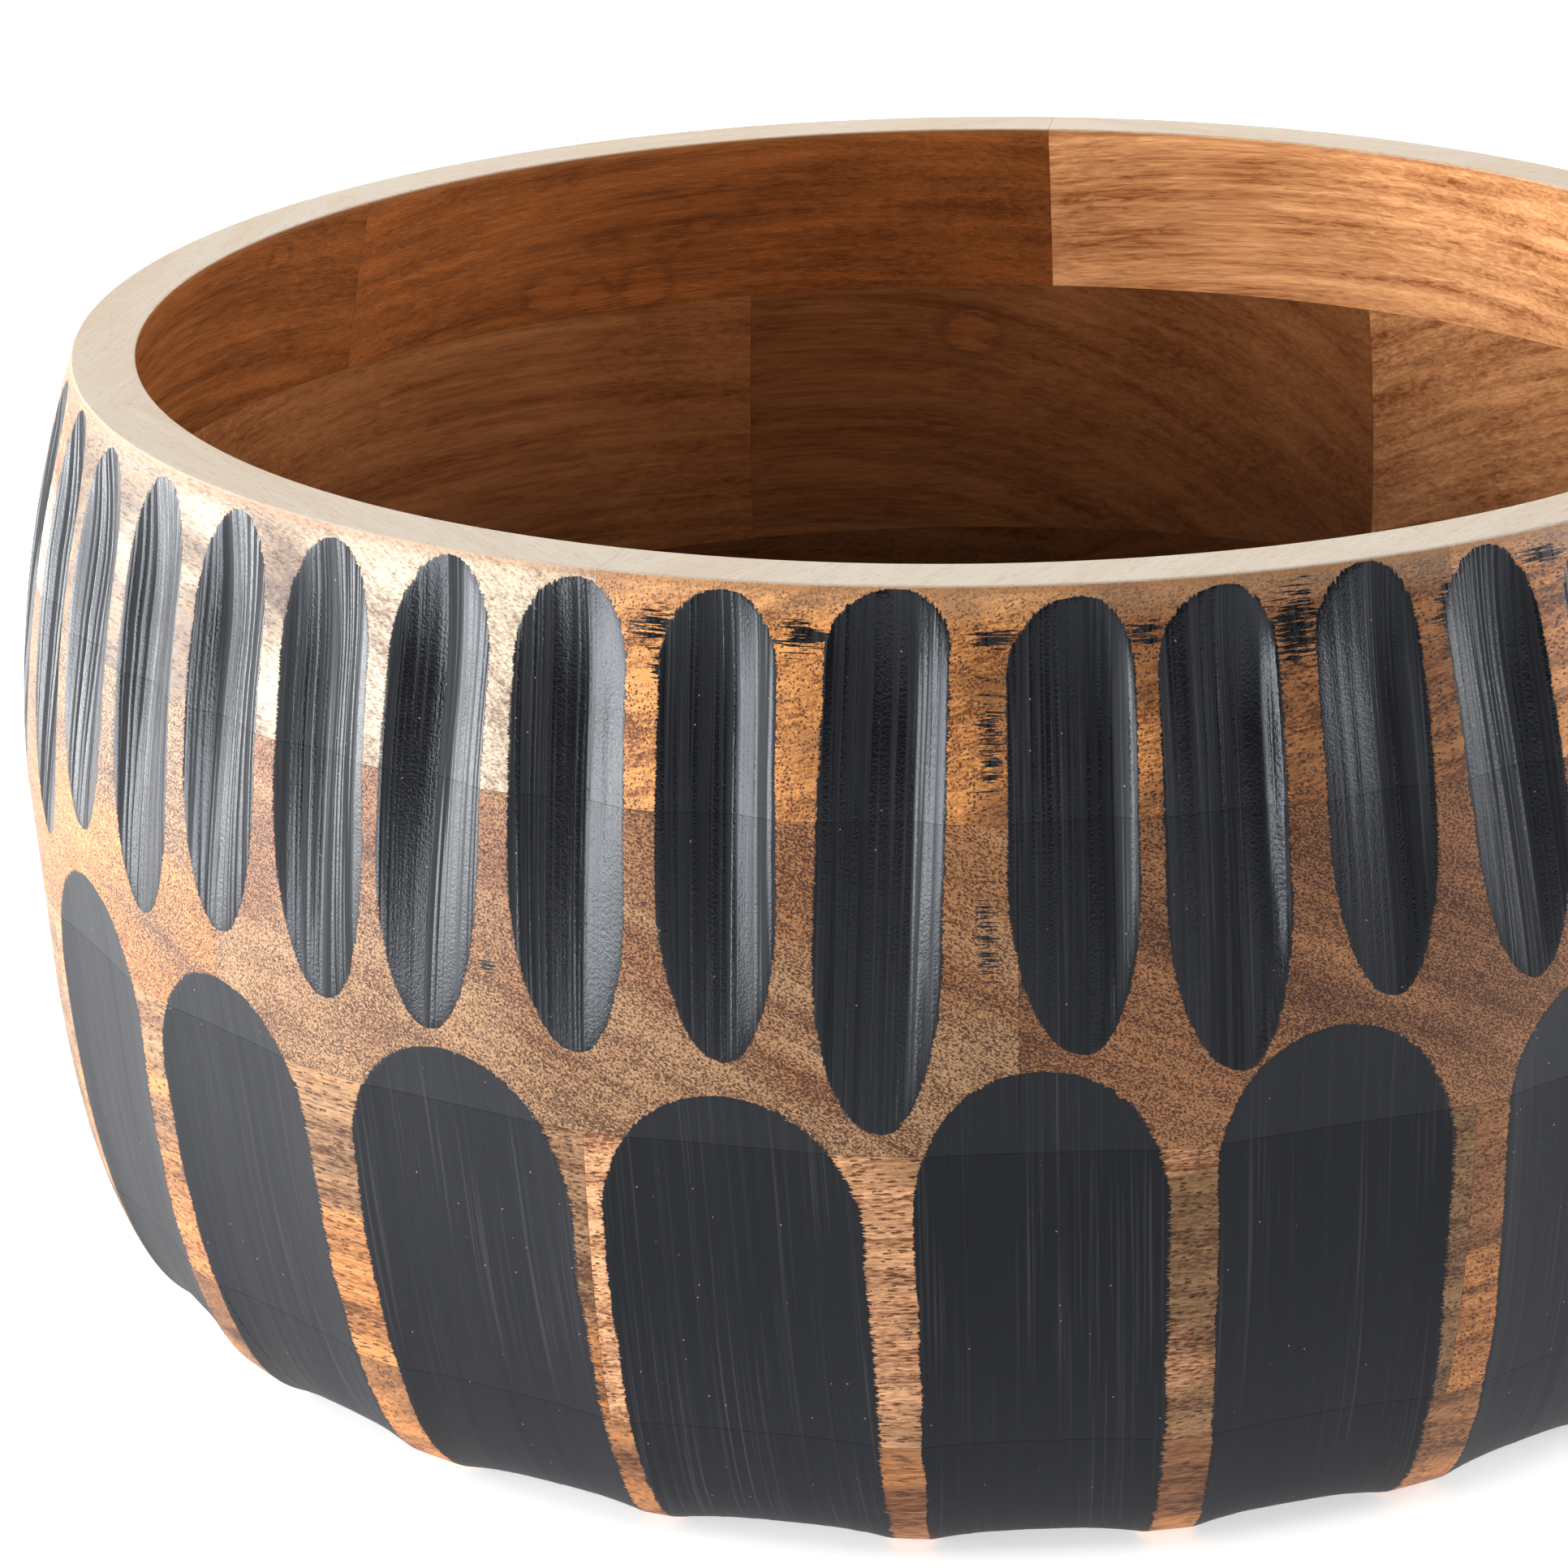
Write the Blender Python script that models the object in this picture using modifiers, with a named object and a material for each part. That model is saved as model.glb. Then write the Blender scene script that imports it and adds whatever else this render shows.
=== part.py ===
"""Carved wooden bowl: glued up from blocks, turned on a lathe, then gouged and painted.

A base of edge-glued planks carries three rings of butt-jointed blocks in brick bond. The glued
blank is turned to a bellied bowl, and two rows of gouge cuts are carved round its outside: a row of
narrow cuts below the rim, and a row of wide ones from the belly down to the foot.

Metres, +Z up. The origin is at the middle of the underside, and the front of the bowl faces -Y.
Azimuths are in degrees from the front, positive to the right.
"""

import math

import bmesh
import bpy

# Glued layers, from the rim down.
TOP_RING_HEIGHT = 0.0310
MIDDLE_RING_HEIGHT = 0.0472
LOWER_RING_HEIGHT = 0.0472
BASE_HEIGHT = 0.0218
GLUE_LINE = 0.0003

# Each ring has short blocks and then long ones that close it.
SHORT_BLOCKS = 5
LONG_BLOCKS = 2
SHORT_BLOCK_ANGLE = 48.5
FIRST_JOINT = -69.3
RING_STAGGER = 23.3
BASE_PLANKS = 5

# Turned shape.
RIM_RADIUS = 0.1400
RIM_WIDTH = 0.0101
RIM_EDGE = 0.0009
BELLY_RADIUS = 0.1511
BELLY_DROP = 0.0630
BELLY_WALL = 0.0111
FOOT_RADIUS = 0.1278
FLOOR_THICKNESS = 0.0145
FLOOR_RADIUS = 0.1020
SHOULDER_POWER = 1.92
HEEL_POWER = 2.28

# Wide gouge cuts, from the belly to the foot. Widths are taken at the belly, where a strip of wood is
# left between two cuts, and they narrow with the bowl. The top drops go round in turn.
WIDE_CUTS = 22
WIDE_CUT_LAND = 0.0080
WIDE_CUT_WIDTH = 2.0 * math.pi * BELLY_RADIUS / WIDE_CUTS - WIDE_CUT_LAND
WIDE_CUT_DEPTH = 0.0018
WIDE_CUT_LEAD_IN = 0.0190
WIDE_CUT_RUN_OUT = 0.0120
WIDE_CUT_TOP_DROPS = (0.0660, 0.0690, 0.0690, 0.0695, 0.0650, 0.0615, 0.0610)
FIRST_CUT_AZIMUTH = -62.2

# Narrow gouge cuts, two to each wide one: one stops above it and one hangs beside it.
NARROW_CUT_LAND = 0.0039
NARROW_CUT_WIDTH = math.pi * BELLY_RADIUS / WIDE_CUTS - NARROW_CUT_LAND
NARROW_CUT_DEPTH = 0.0026
NARROW_CUT_LEAD_IN = 0.0160
NARROW_CUT_RUN_OUT = 0.0280
NARROW_CUT_TOP_DROP = 0.0020
NARROW_CUT_GAP = 0.0028
HANGING_CUT_DROP = 0.0672
LONG_CUT = 7
LONG_CUT_DROP = 0.0760
WIDE_STEP_CUT = 8
WIDE_STEP = 2.4

# How finely the round shapes are divided.
TURN_STEPS = 60
SHOULDER_POINTS = 4
HEEL_POINTS = 6
CUT_STATIONS = 7
CUT_FACETS = 4
CUT_REACH = 1.17
CLEAR = 0.0065

BOWL_HEIGHT = TOP_RING_HEIGHT + MIDDLE_RING_HEIGHT + LOWER_RING_HEIGHT + BASE_HEIGHT
FAR = 2.0 * BELLY_RADIUS

FINISHES = {
    "top_ring_wood": ((0.46, 0.26, 0.12, 1.0), 0.45),
    "middle_ring_wood": ((0.33, 0.18, 0.08, 1.0), 0.50),
    "lower_ring_wood": ((0.42, 0.25, 0.14, 1.0), 0.50),
    "base_wood": ((0.27, 0.15, 0.08, 1.0), 0.50),
    "black_paint": ((0.02, 0.02, 0.022, 1.0), 0.55),
}


def clear_scene():
    """Removes the start-up objects."""
    for obj in list(bpy.data.objects):
        bpy.data.objects.remove(obj, do_unlink=True)


def make_materials():
    """Makes one Principled material for each finish."""
    made = {}
    for name, (colour, roughness) in FINISHES.items():
        material = bpy.data.materials.new(name)
        material.use_nodes = True
        shader = material.node_tree.nodes["Principled BSDF"]
        shader.inputs["Base Color"].default_value = colour
        shader.inputs["Roughness"].default_value = roughness
        shader.inputs["Metallic"].default_value = 0.0
        made[name] = material
    return made


def make_collection(name):
    """Adds a collection to the scene."""
    collection = bpy.data.collections.new(name)
    bpy.context.scene.collection.children.link(collection)
    return collection


def add_object(name, mesh, collection, material):
    """Adds a mesh object with one material."""
    obj = bpy.data.objects.new(name, mesh)
    obj.data.materials.append(material)
    collection.objects.link(obj)
    return obj


def as_helper(obj):
    """Keeps a cutter or a guide out of the finished part."""
    obj.hide_render = True
    obj.display_type = "WIRE"
    return obj


def wall_profile(rim, belly, foot, depth, per_arc=1):
    """(radius, height) points down a wall from the rim: a shoulder curve, then a heel curve."""
    points = []
    shoulder = SHOULDER_POINTS * per_arc
    for step in range(shoulder):
        rise = 1.0 - step / shoulder
        radius = belly - (belly - rim) * rise**SHOULDER_POWER
        points.append((radius, BOWL_HEIGHT - BELLY_DROP * (1.0 - rise)))
    heel = HEEL_POINTS * per_arc
    for step in range(heel + 1):
        turn = 0.5 * math.pi * step / heel
        fall = math.sin(turn) ** (2.0 / HEEL_POWER)
        reach = max(math.cos(turn), 0.0) ** (2.0 / HEEL_POWER)
        drop = BELLY_DROP + (depth - BELLY_DROP) * fall
        points.append((foot + (belly - foot) * reach, BOWL_HEIGHT - drop))
    return points


def turned_section():
    """The lathe profile, from the floor's middle up the inside, over the rim and down the outside."""
    inside = wall_profile(
        RIM_RADIUS - RIM_WIDTH,
        BELLY_RADIUS - BELLY_WALL,
        FLOOR_RADIUS,
        BOWL_HEIGHT - FLOOR_THICKNESS,
    )
    outside = wall_profile(RIM_RADIUS, BELLY_RADIUS, FOOT_RADIUS, BOWL_HEIGHT)
    floor_middle = (0.0, FLOOR_THICKNESS)
    under_middle = (0.0, 0.0)
    rim_inside = (inside[0][0] + RIM_EDGE, BOWL_HEIGHT)
    rim_outside = (outside[0][0] - RIM_EDGE, BOWL_HEIGHT)
    inside[0] = (inside[0][0], BOWL_HEIGHT - RIM_EDGE)
    outside[0] = (outside[0][0], BOWL_HEIGHT - RIM_EDGE)
    return [floor_middle] + inside[::-1] + [rim_inside, rim_outside] + outside + [under_middle]


def make_turned_bowl(collection, material):
    """Turns the section round the axis with a Screw."""
    mesh = bpy.data.meshes.new("turned_bowl")
    points = [(radius, 0.0, height) for radius, height in turned_section()]
    edges = [(i, i + 1) for i in range(len(points) - 1)]
    mesh.from_pydata(points, edges, [])
    bowl = add_object("turned_bowl", mesh, collection, material)
    screw = bowl.modifiers.new("turn", "SCREW")
    screw.steps = TURN_STEPS
    screw.render_steps = TURN_STEPS
    screw.use_merge_vertices = True
    screw.merge_threshold = 0.00001
    screw.use_smooth_shade = False
    return as_helper(bowl)


class Wall:
    """The turned outside as a path: where it is, and which way it faces, at a length down from the rim."""

    def __init__(self):
        self.points = wall_profile(RIM_RADIUS, BELLY_RADIUS, FOOT_RADIUS, BOWL_HEIGHT, 8)
        self.lengths = [0.0]
        for (r0, h0), (r1, h1) in zip(self.points, self.points[1:]):
            self.lengths.append(self.lengths[-1] + math.hypot(r1 - r0, h1 - h0))
        self.length = self.lengths[-1]

    def down_to(self, drop):
        """The length of wall from the rim down to this drop below it."""
        for (_, h0), (_, h1), start, end in zip(
            self.points, self.points[1:], self.lengths, self.lengths[1:]
        ):
            if BOWL_HEIGHT - h1 >= drop:
                return start + (end - start) * (BOWL_HEIGHT - drop - h0) / (h1 - h0)
        return self.length

    def at(self, length):
        """(radius, height, outward radius, outward height) at a length, run straight on past each end."""
        last = len(self.lengths) - 2
        index = 0
        while index < last and self.lengths[index + 1] < length:
            index += 1
        (r0, h0), (r1, h1) = self.points[index], self.points[index + 1]
        span = self.lengths[index + 1] - self.lengths[index]
        along = (length - self.lengths[index]) / span
        radius = r0 + (r1 - r0) * along
        height = h0 + (h1 - h0) * along
        return radius, height, (h0 - h1) / span, (r1 - r0) / span


def cut_depth(length, top, bottom, depth, lead_in, run_out):
    """How deep a gouge is in at a length down the wall. It is negative where the tool is clear."""
    into = min((length - top) / lead_in, 1.0)
    out = min((bottom - length) / run_out, 1.0)
    return depth * (1.0 - (1.0 - into) ** 2 - (1.0 - out) ** 2)


def add_cut(bm, wall, azimuth, top, bottom, width, depth, lead_in, run_out):
    """Adds one gouge cutter: a shallow arc swept down the wall, a little wider than the cut."""
    turn = math.radians(azimuth)
    out = (math.sin(turn), -math.cos(turn))
    side = (math.cos(turn), math.sin(turn))
    start = top - 0.16 * lead_in
    end = bottom + 0.16 * run_out
    loops = []
    for station in range(CUT_STATIONS + 1):
        length = start + (end - start) * station / CUT_STATIONS
        radius, height, face_r, face_h = wall.at(length)
        sink = cut_depth(length, top, bottom, depth, lead_in, run_out)
        half = 0.5 * width * radius / BELLY_RADIUS
        reach = CUT_REACH * half
        hollow = depth / half**2 - 0.5 / radius
        arc = []
        for facet in range(CUT_FACETS + 1):
            across = reach * (2.0 * facet / CUT_FACETS - 1.0)
            arc.append((across, hollow * across**2 - sink))
        arc += [(reach, CLEAR), (-reach, CLEAR)]
        loop = []
        for across, above in arc:
            r = radius + above * face_r
            x = out[0] * r + side[0] * across
            y = out[1] * r + side[1] * across
            loop.append(bm.verts.new((x, y, height + above * face_h)))
        loops.append(loop)
    for upper, lower in zip(loops, loops[1:]):
        for i in range(len(upper)):
            j = (i + 1) % len(upper)
            bm.faces.new((upper[i], upper[j], lower[j], lower[i]))
    bm.faces.new(loops[0][::-1])
    bm.faces.new(loops[-1])


def wide_cut_azimuth(index):
    """Wide cuts are spaced evenly."""
    return FIRST_CUT_AZIMUTH + 360.0 * index / WIDE_CUTS


def wide_cut_top_drop(index):
    """The wide cuts start at slightly different drops, in turn."""
    return WIDE_CUT_TOP_DROPS[index % len(WIDE_CUT_TOP_DROPS)]


def narrow_cut_azimuth(index):
    """Narrow cuts are spaced evenly, but for one wide step that the rest of the round makes up."""
    count = 2 * WIDE_CUTS
    late = 0.0
    if index >= WIDE_STEP_CUT:
        late = WIDE_STEP * (count - index) / (count - WIDE_STEP_CUT)
    return FIRST_CUT_AZIMUTH + 360.0 * index / count + late


def narrow_cut_bottom_drop(index):
    """Where a narrow cut ends: above its wide cut, or hanging between two of them."""
    if index % 2 == 0:
        return wide_cut_top_drop(index // 2) - NARROW_CUT_GAP
    return LONG_CUT_DROP if index == LONG_CUT else HANGING_CUT_DROP


def finish_cutter(bm, name, collection, material):
    """Turns gathered cuts into a cutter."""
    mesh = bpy.data.meshes.new(name)
    bm.to_mesh(mesh)
    bm.free()
    return as_helper(add_object(name, mesh, collection, material))


def make_narrow_cutter(wall, collection, material):
    """All the narrow cuts as one cutter."""
    bm = bmesh.new()
    for index in range(2 * WIDE_CUTS):
        add_cut(
            bm,
            wall,
            narrow_cut_azimuth(index),
            wall.down_to(NARROW_CUT_TOP_DROP),
            wall.down_to(narrow_cut_bottom_drop(index)),
            NARROW_CUT_WIDTH,
            NARROW_CUT_DEPTH,
            NARROW_CUT_LEAD_IN,
            NARROW_CUT_RUN_OUT,
        )
    return finish_cutter(bm, "narrow_gouge", collection, material)


def make_wide_cutter(wall, collection, material):
    """All the wide cuts as one cutter."""
    bm = bmesh.new()
    for index in range(WIDE_CUTS):
        add_cut(
            bm,
            wall,
            wide_cut_azimuth(index),
            wall.down_to(wide_cut_top_drop(index)),
            wall.length,
            WIDE_CUT_WIDTH,
            WIDE_CUT_DEPTH,
            WIDE_CUT_LEAD_IN,
            WIDE_CUT_RUN_OUT,
        )
    return finish_cutter(bm, "wide_gouge", collection, material)


def cut_with(obj, cutter, operation, material_mode):
    """Adds an exact Boolean. The mode says how the new faces get their material."""
    boolean = obj.modifiers.new(cutter.name, "BOOLEAN")
    boolean.object = cutter
    boolean.operation = operation
    boolean.solver = "EXACT"
    boolean.material_mode = material_mode


def shape_with(block, bowl, paint):
    """Keeps the part of a sawn block that the turned and carved bowl leaves, with its own wood."""
    block.data.materials.append(paint)
    cut_with(block, bowl, "INTERSECT", "INDEX")


def make_prism(name, outline, bottom, top, collection, material):
    """A sawn block: a flat outline raised between two heights."""
    bm = bmesh.new()
    corners = [bm.verts.new((x, y, bottom)) for x, y in outline]
    face = bm.faces.new(corners)
    raised = bmesh.ops.extrude_face_region(bm, geom=[face])
    lifted = [item for item in raised["geom"] if isinstance(item, bmesh.types.BMVert)]
    bmesh.ops.translate(bm, vec=(0.0, 0.0, top - bottom), verts=lifted)
    bmesh.ops.recalc_face_normals(bm, faces=bm.faces)
    mesh = bpy.data.meshes.new(name)
    bm.to_mesh(mesh)
    bm.free()
    return add_object(name, mesh, collection, material)


def wedge(first, last):
    """The outline of a block between two radial joints, half a glue line clear of each."""
    a, b = math.radians(first), math.radians(last)
    middle = 0.5 * (a + b)
    apex = 0.5 * GLUE_LINE / math.sin(0.5 * (b - a))
    tip = (apex * math.sin(middle), -apex * math.cos(middle))
    ends = [(tip[0] + FAR * math.sin(t), tip[1] - FAR * math.cos(t)) for t in (a, b)]
    return [tip] + ends


def ring_joints(first):
    """The azimuths of a ring's joints, from the first round to the first again."""
    long_block = (360.0 - SHORT_BLOCKS * SHORT_BLOCK_ANGLE) / LONG_BLOCKS
    joints = [first]
    for _ in range(SHORT_BLOCKS):
        joints.append(joints[-1] + SHORT_BLOCK_ANGLE)
    for _ in range(LONG_BLOCKS):
        joints.append(joints[-1] + long_block)
    return joints


def make_ring(name, first, bottom, top, bowl, collection, materials):
    """One ring of blocks, each sawn as a wedge and then turned and carved with the bowl."""
    joints = ring_joints(first)
    for number, (start, end) in enumerate(zip(joints, joints[1:]), 1):
        outline = wedge(start, end)
        wood = materials[f"{name}_wood"]
        block = make_prism(f"{name}_block_{number}", outline, bottom, top, collection, wood)
        shape_with(block, bowl, materials["black_paint"])


def make_base(top, bowl, collection, materials):
    """The base: planks side by side, turned and carved with the bowl."""
    width = 2.0 * BELLY_RADIUS / BASE_PLANKS
    for number in range(1, BASE_PLANKS + 1):
        near = -BELLY_RADIUS + width * (number - 1) + 0.5 * GLUE_LINE
        far = -BELLY_RADIUS + width * number - 0.5 * GLUE_LINE
        outline = [(-FAR, near), (FAR, near), (FAR, far), (-FAR, far)]
        wood = materials["base_wood"]
        plank = make_prism(f"base_plank_{number}", outline, -CLEAR, top, collection, wood)
        shape_with(plank, bowl, materials["black_paint"])


def main():
    """Builds the bowl."""
    clear_scene()
    materials = make_materials()
    parts = make_collection("carved_wooden_bowl")
    helpers = make_collection("cutters")
    wall = Wall()
    bowl = make_turned_bowl(helpers, materials["top_ring_wood"])
    paint = materials["black_paint"]
    for cutter in (
        make_narrow_cutter(wall, helpers, paint),
        make_wide_cutter(wall, helpers, paint),
    ):
        cut_with(bowl, cutter, "DIFFERENCE", "TRANSFER")

    half_glue = 0.5 * GLUE_LINE
    lower_bottom = BASE_HEIGHT
    middle_bottom = lower_bottom + LOWER_RING_HEIGHT
    top_bottom = middle_bottom + MIDDLE_RING_HEIGHT
    staggered = FIRST_JOINT + RING_STAGGER
    rings = (
        ("top_ring", FIRST_JOINT, top_bottom + half_glue, BOWL_HEIGHT + CLEAR),
        ("middle_ring", staggered, middle_bottom + half_glue, top_bottom - half_glue),
        ("lower_ring", FIRST_JOINT, lower_bottom + half_glue, middle_bottom - half_glue),
    )
    for name, first, bottom, top in rings:
        make_ring(name, first, bottom, top, bowl, parts, materials)
    make_base(lower_bottom - half_glue, bowl, parts, materials)


main()
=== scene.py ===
"""Looks of a carved wooden bowl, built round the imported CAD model.

The bowl is glued up from three rings of blocks on a base of planks, turned, and carved outside with
two rows of gouge cuts that are painted black. Each block and plank of the frame is replaced by one
closed piece of the same place and name, with its own timber, and its cuts are carved by Geometry
Nodes.

Metres, +Z up. The front of the bowl faces -Y. Azimuths are in degrees from the front, positive to
the right.
"""

from __future__ import annotations

import logging
import math
import random
from dataclasses import dataclass, field
from enum import Enum

import bmesh
import bpy
import numpy as np
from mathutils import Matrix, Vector

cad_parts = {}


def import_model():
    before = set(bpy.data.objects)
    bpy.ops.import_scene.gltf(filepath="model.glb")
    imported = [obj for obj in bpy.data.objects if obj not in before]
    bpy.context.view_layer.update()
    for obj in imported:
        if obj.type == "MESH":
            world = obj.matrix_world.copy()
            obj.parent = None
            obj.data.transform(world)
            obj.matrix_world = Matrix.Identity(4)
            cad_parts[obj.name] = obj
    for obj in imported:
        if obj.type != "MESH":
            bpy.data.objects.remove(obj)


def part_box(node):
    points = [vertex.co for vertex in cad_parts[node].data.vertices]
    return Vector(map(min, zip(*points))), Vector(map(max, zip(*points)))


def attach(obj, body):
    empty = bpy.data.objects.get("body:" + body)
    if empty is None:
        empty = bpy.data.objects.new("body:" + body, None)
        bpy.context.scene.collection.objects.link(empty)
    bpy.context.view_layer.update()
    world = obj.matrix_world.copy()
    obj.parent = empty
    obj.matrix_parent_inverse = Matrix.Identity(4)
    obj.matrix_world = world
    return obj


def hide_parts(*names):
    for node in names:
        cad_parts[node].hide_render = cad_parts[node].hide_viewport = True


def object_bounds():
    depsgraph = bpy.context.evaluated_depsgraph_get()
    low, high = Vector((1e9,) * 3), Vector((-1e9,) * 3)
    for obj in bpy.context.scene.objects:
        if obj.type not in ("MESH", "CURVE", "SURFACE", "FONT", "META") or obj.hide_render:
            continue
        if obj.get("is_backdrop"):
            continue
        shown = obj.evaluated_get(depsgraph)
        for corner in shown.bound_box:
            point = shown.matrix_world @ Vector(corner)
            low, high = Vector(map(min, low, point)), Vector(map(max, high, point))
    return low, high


LOG = logging.getLogger("carved_bowl")
MM = 0.001
PER_MM = 1000.0


class Ring(Enum):
    """The glued rings, from the rim down, by the start of their block names."""

    TOP = "top_ring"
    MIDDLE = "middle_ring"
    LOWER = "lower_ring"


class Drift(Enum):
    """Which way a block's colour drifts from its tone to its heart."""

    DOWN = "down"
    ROUND = "round"


class Tone(Enum):
    """Mid colours of the timbers, in linear light."""

    CREAM = (0.54, 0.42, 0.295)
    FAWN = (0.19, 0.102, 0.036)
    STRAW = (0.56, 0.33, 0.125)
    HONEY = (0.66, 0.285, 0.085)
    ROSE = (0.64, 0.33, 0.165)
    OCHRE = (0.22, 0.118, 0.048)
    RUSSET = (0.25, 0.100, 0.032)
    AMBER = (0.44, 0.180, 0.055)
    TAN = (0.33, 0.183, 0.090)
    CHESTNUT = (0.29, 0.128, 0.050)
    UMBER = (0.21, 0.088, 0.035)


@dataclass(frozen=True)
class Timber:
    """One block's own wood.

    Args:
        tone: its mid colour.
        turn: the grain's direction, in degrees from the block's own tangent towards the middle.
        climb: the grain's slope, in degrees.
        roll: how the growth rings lie about the grain, in degrees.
        heart: a second colour that drifts in.
        oil: how light its oiled inside is: its own tone, and on the back-right blocks painted light as
            well.
        drift: which way the second colour drifts in.
        open: how open its pores are, from 0 to 1.
    """

    tone: Tone
    heart: Tone
    turn: float = 0.0
    climb: float = 0.0
    roll: float = 20.0
    oil: float = 1.0
    drift: Drift = Drift.DOWN
    open: float = 1.0


@dataclass(frozen=True)
class BowlShape:
    """The turned shape of the bowl.

    Args:
        height: overall height, from the frame.
        belly_radius: the largest radius, from the frame.
    """

    height: float
    belly_radius: float
    rim_radius: float = 0.1400
    rim_width: float = 0.0101
    rim_edge: float = 0.0005
    belly_drop: float = 0.0630
    belly_wall: float = 0.0111
    foot_radius: float = 0.1278
    floor_thickness: float = 0.0145
    floor_radius: float = 0.1020
    shoulder_power: float = 1.92
    heel_power: float = 2.28

    def outside(self) -> Wall:
        """The outer wall."""
        return Wall(self, self.rim_radius, self.belly_radius, self.foot_radius, self.height)

    def inside(self) -> Wall:
        """The inner wall, down to the edge of the floor."""
        return Wall(
            self,
            self.rim_radius - self.rim_width,
            self.belly_radius - self.belly_wall,
            self.floor_radius,
            self.height - self.floor_thickness,
        )


class Wall:
    """A turned wall from its top edge to its foot, read by the length along its curve."""

    SAMPLES = 600

    def __init__(
        self, shape: BowlShape, top: float, belly: float, foot: float, depth: float
    ) -> None:
        """Works the curve out as many short steps.

        Args:
            shape: the bowl.
            top: radius at the top edge.
            belly: radius at the belly.
            foot: radius where the curve ends.
            depth: how far below the top edge it ends.
        """
        rise = np.linspace(1.0, 0.0, self.SAMPLES)
        turn = np.linspace(0.0, 0.5 * math.pi, self.SAMPLES)[1:]
        fall = np.sin(turn) ** (2.0 / shape.heel_power)
        reach = np.maximum(np.cos(turn), 0.0) ** (2.0 / shape.heel_power)
        drop = np.concatenate(
            [
                shape.belly_drop * (1.0 - rise),
                shape.belly_drop + (depth - shape.belly_drop) * fall,
            ]
        )
        self.radius = np.concatenate(
            [belly - (belly - top) * rise**shape.shoulder_power, foot + (belly - foot) * reach]
        )
        self.height = shape.height - drop
        steps = np.hypot(np.diff(self.radius), np.diff(self.height))
        self.length = np.concatenate([[0.0], np.cumsum(steps)])
        self.drop = drop

    def length_at(self, drop: float) -> float:
        """The length along the curve at a drop below the rim."""
        return float(np.interp(drop, self.drop, self.length))

    def at(self, length: np.ndarray) -> tuple[np.ndarray, np.ndarray]:
        """Radius and height at lengths along the curve."""
        return (
            np.interp(length, self.length, self.radius),
            np.interp(length, self.length, self.height),
        )

    def facing(self, length: np.ndarray) -> tuple[np.ndarray, np.ndarray]:
        """The outward direction at lengths along the curve, as parts along radius and height.

        Args:
            length: lengths along the curve.

        Returns:
            The parts along radius and along height.
        """
        step = 0.3 * MM
        r0, z0 = self.at(length - step)
        r1, z1 = self.at(length + step)
        size = np.hypot(r1 - r0, z1 - z0)
        return (z0 - z1) / size, (r1 - r0) / size


@dataclass
class Section:
    """Points of a block's section, in the order down the outside, in, up the inside and out."""

    radius: list[float] = field(default_factory=list)
    height: list[float] = field(default_factory=list)
    facing: list[tuple[float, float]] = field(default_factory=list)
    down: list[float] = field(default_factory=list)
    wall: list[float] = field(default_factory=list)
    inside: list[float] = field(default_factory=list)

    def add(self, radius: float, height: float, inside: float = 0.0) -> None:
        """Adds a point that isn't carved.

        Args:
            radius: the point's radius.
            height: the point's height.
            inside: 1 on the inside of the bowl, else 0.
        """
        self.radius.append(float(radius))
        self.height.append(float(height))
        self.facing.append((0.0, 0.0))
        self.down.append(0.0)
        self.wall.append(0.0)
        self.inside.append(inside)

    def add_outside(self, wall: Wall, first: float, last: float, step: float) -> None:
        """Adds the carved outer wall between two lengths.

        Args:
            wall: the outer wall.
            first: length at the upper end.
            last: length at the lower end.
            step: about how far apart the points lie.
        """
        lengths = np.linspace(first, last, max(2, math.ceil((last - first) / step) + 1))
        radius, height = wall.at(lengths)
        out_r, out_z = wall.facing(lengths)
        self.radius += radius.tolist()
        self.height += height.tolist()
        self.facing += list(zip(out_r.tolist(), out_z.tolist()))
        self.down += lengths.tolist()
        self.wall += [1.0] * len(lengths)
        self.inside += [0.0] * len(lengths)

    def add_inside(self, wall: Wall, first: float, last: float, step: float) -> None:
        """Adds the inner wall between two lengths, from the lower one up.

        Args:
            wall: the inner wall.
            first: length at the lower end.
            last: length at the upper end.
            step: about how far apart the points lie.
        """
        lengths = np.linspace(first, last, max(2, math.ceil(abs(last - first) / step) + 1))
        for radius, height in zip(*wall.at(lengths)):
            self.add(radius, height, 1.0)


@dataclass(frozen=True)
class Cut:
    """One gouge cut.

    Args:
        azimuth: its middle, in degrees.
        top: length down the wall where the tool goes in.
        bottom: length down the wall where it comes out.
        lean: how far it turns on its way down, in radians a metre.
        width: its share of the row's width.
        valley: where its deepest line lies, from -1 at the left edge to 1 at the right.
        tip: its share of the row's lead-in, small for a blunt top.
        seed: a number of its own.
    """

    azimuth: float
    top: float
    bottom: float
    lean: float
    width: float
    valley: float
    tip: float
    seed: float

    @classmethod
    def made(cls, stroke: Stroke, even: float, wall: Wall, bottom: float, seed: float) -> Cut:
        """A stroke in its place on the wall.

        Args:
            stroke: the stroke.
            even: azimuth of its place in an even row.
            wall: the outer wall.
            bottom: length down the wall where the tool comes out.
            seed: a number of its own.

        Returns:
            The cut.
        """
        return cls(
            azimuth=even + stroke.nudge,
            top=wall.length_at(stroke.top * MM),
            bottom=bottom,
            lean=stroke.lean,
            width=stroke.width,
            valley=stroke.valley,
            tip=stroke.tip,
            seed=seed,
        )


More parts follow.
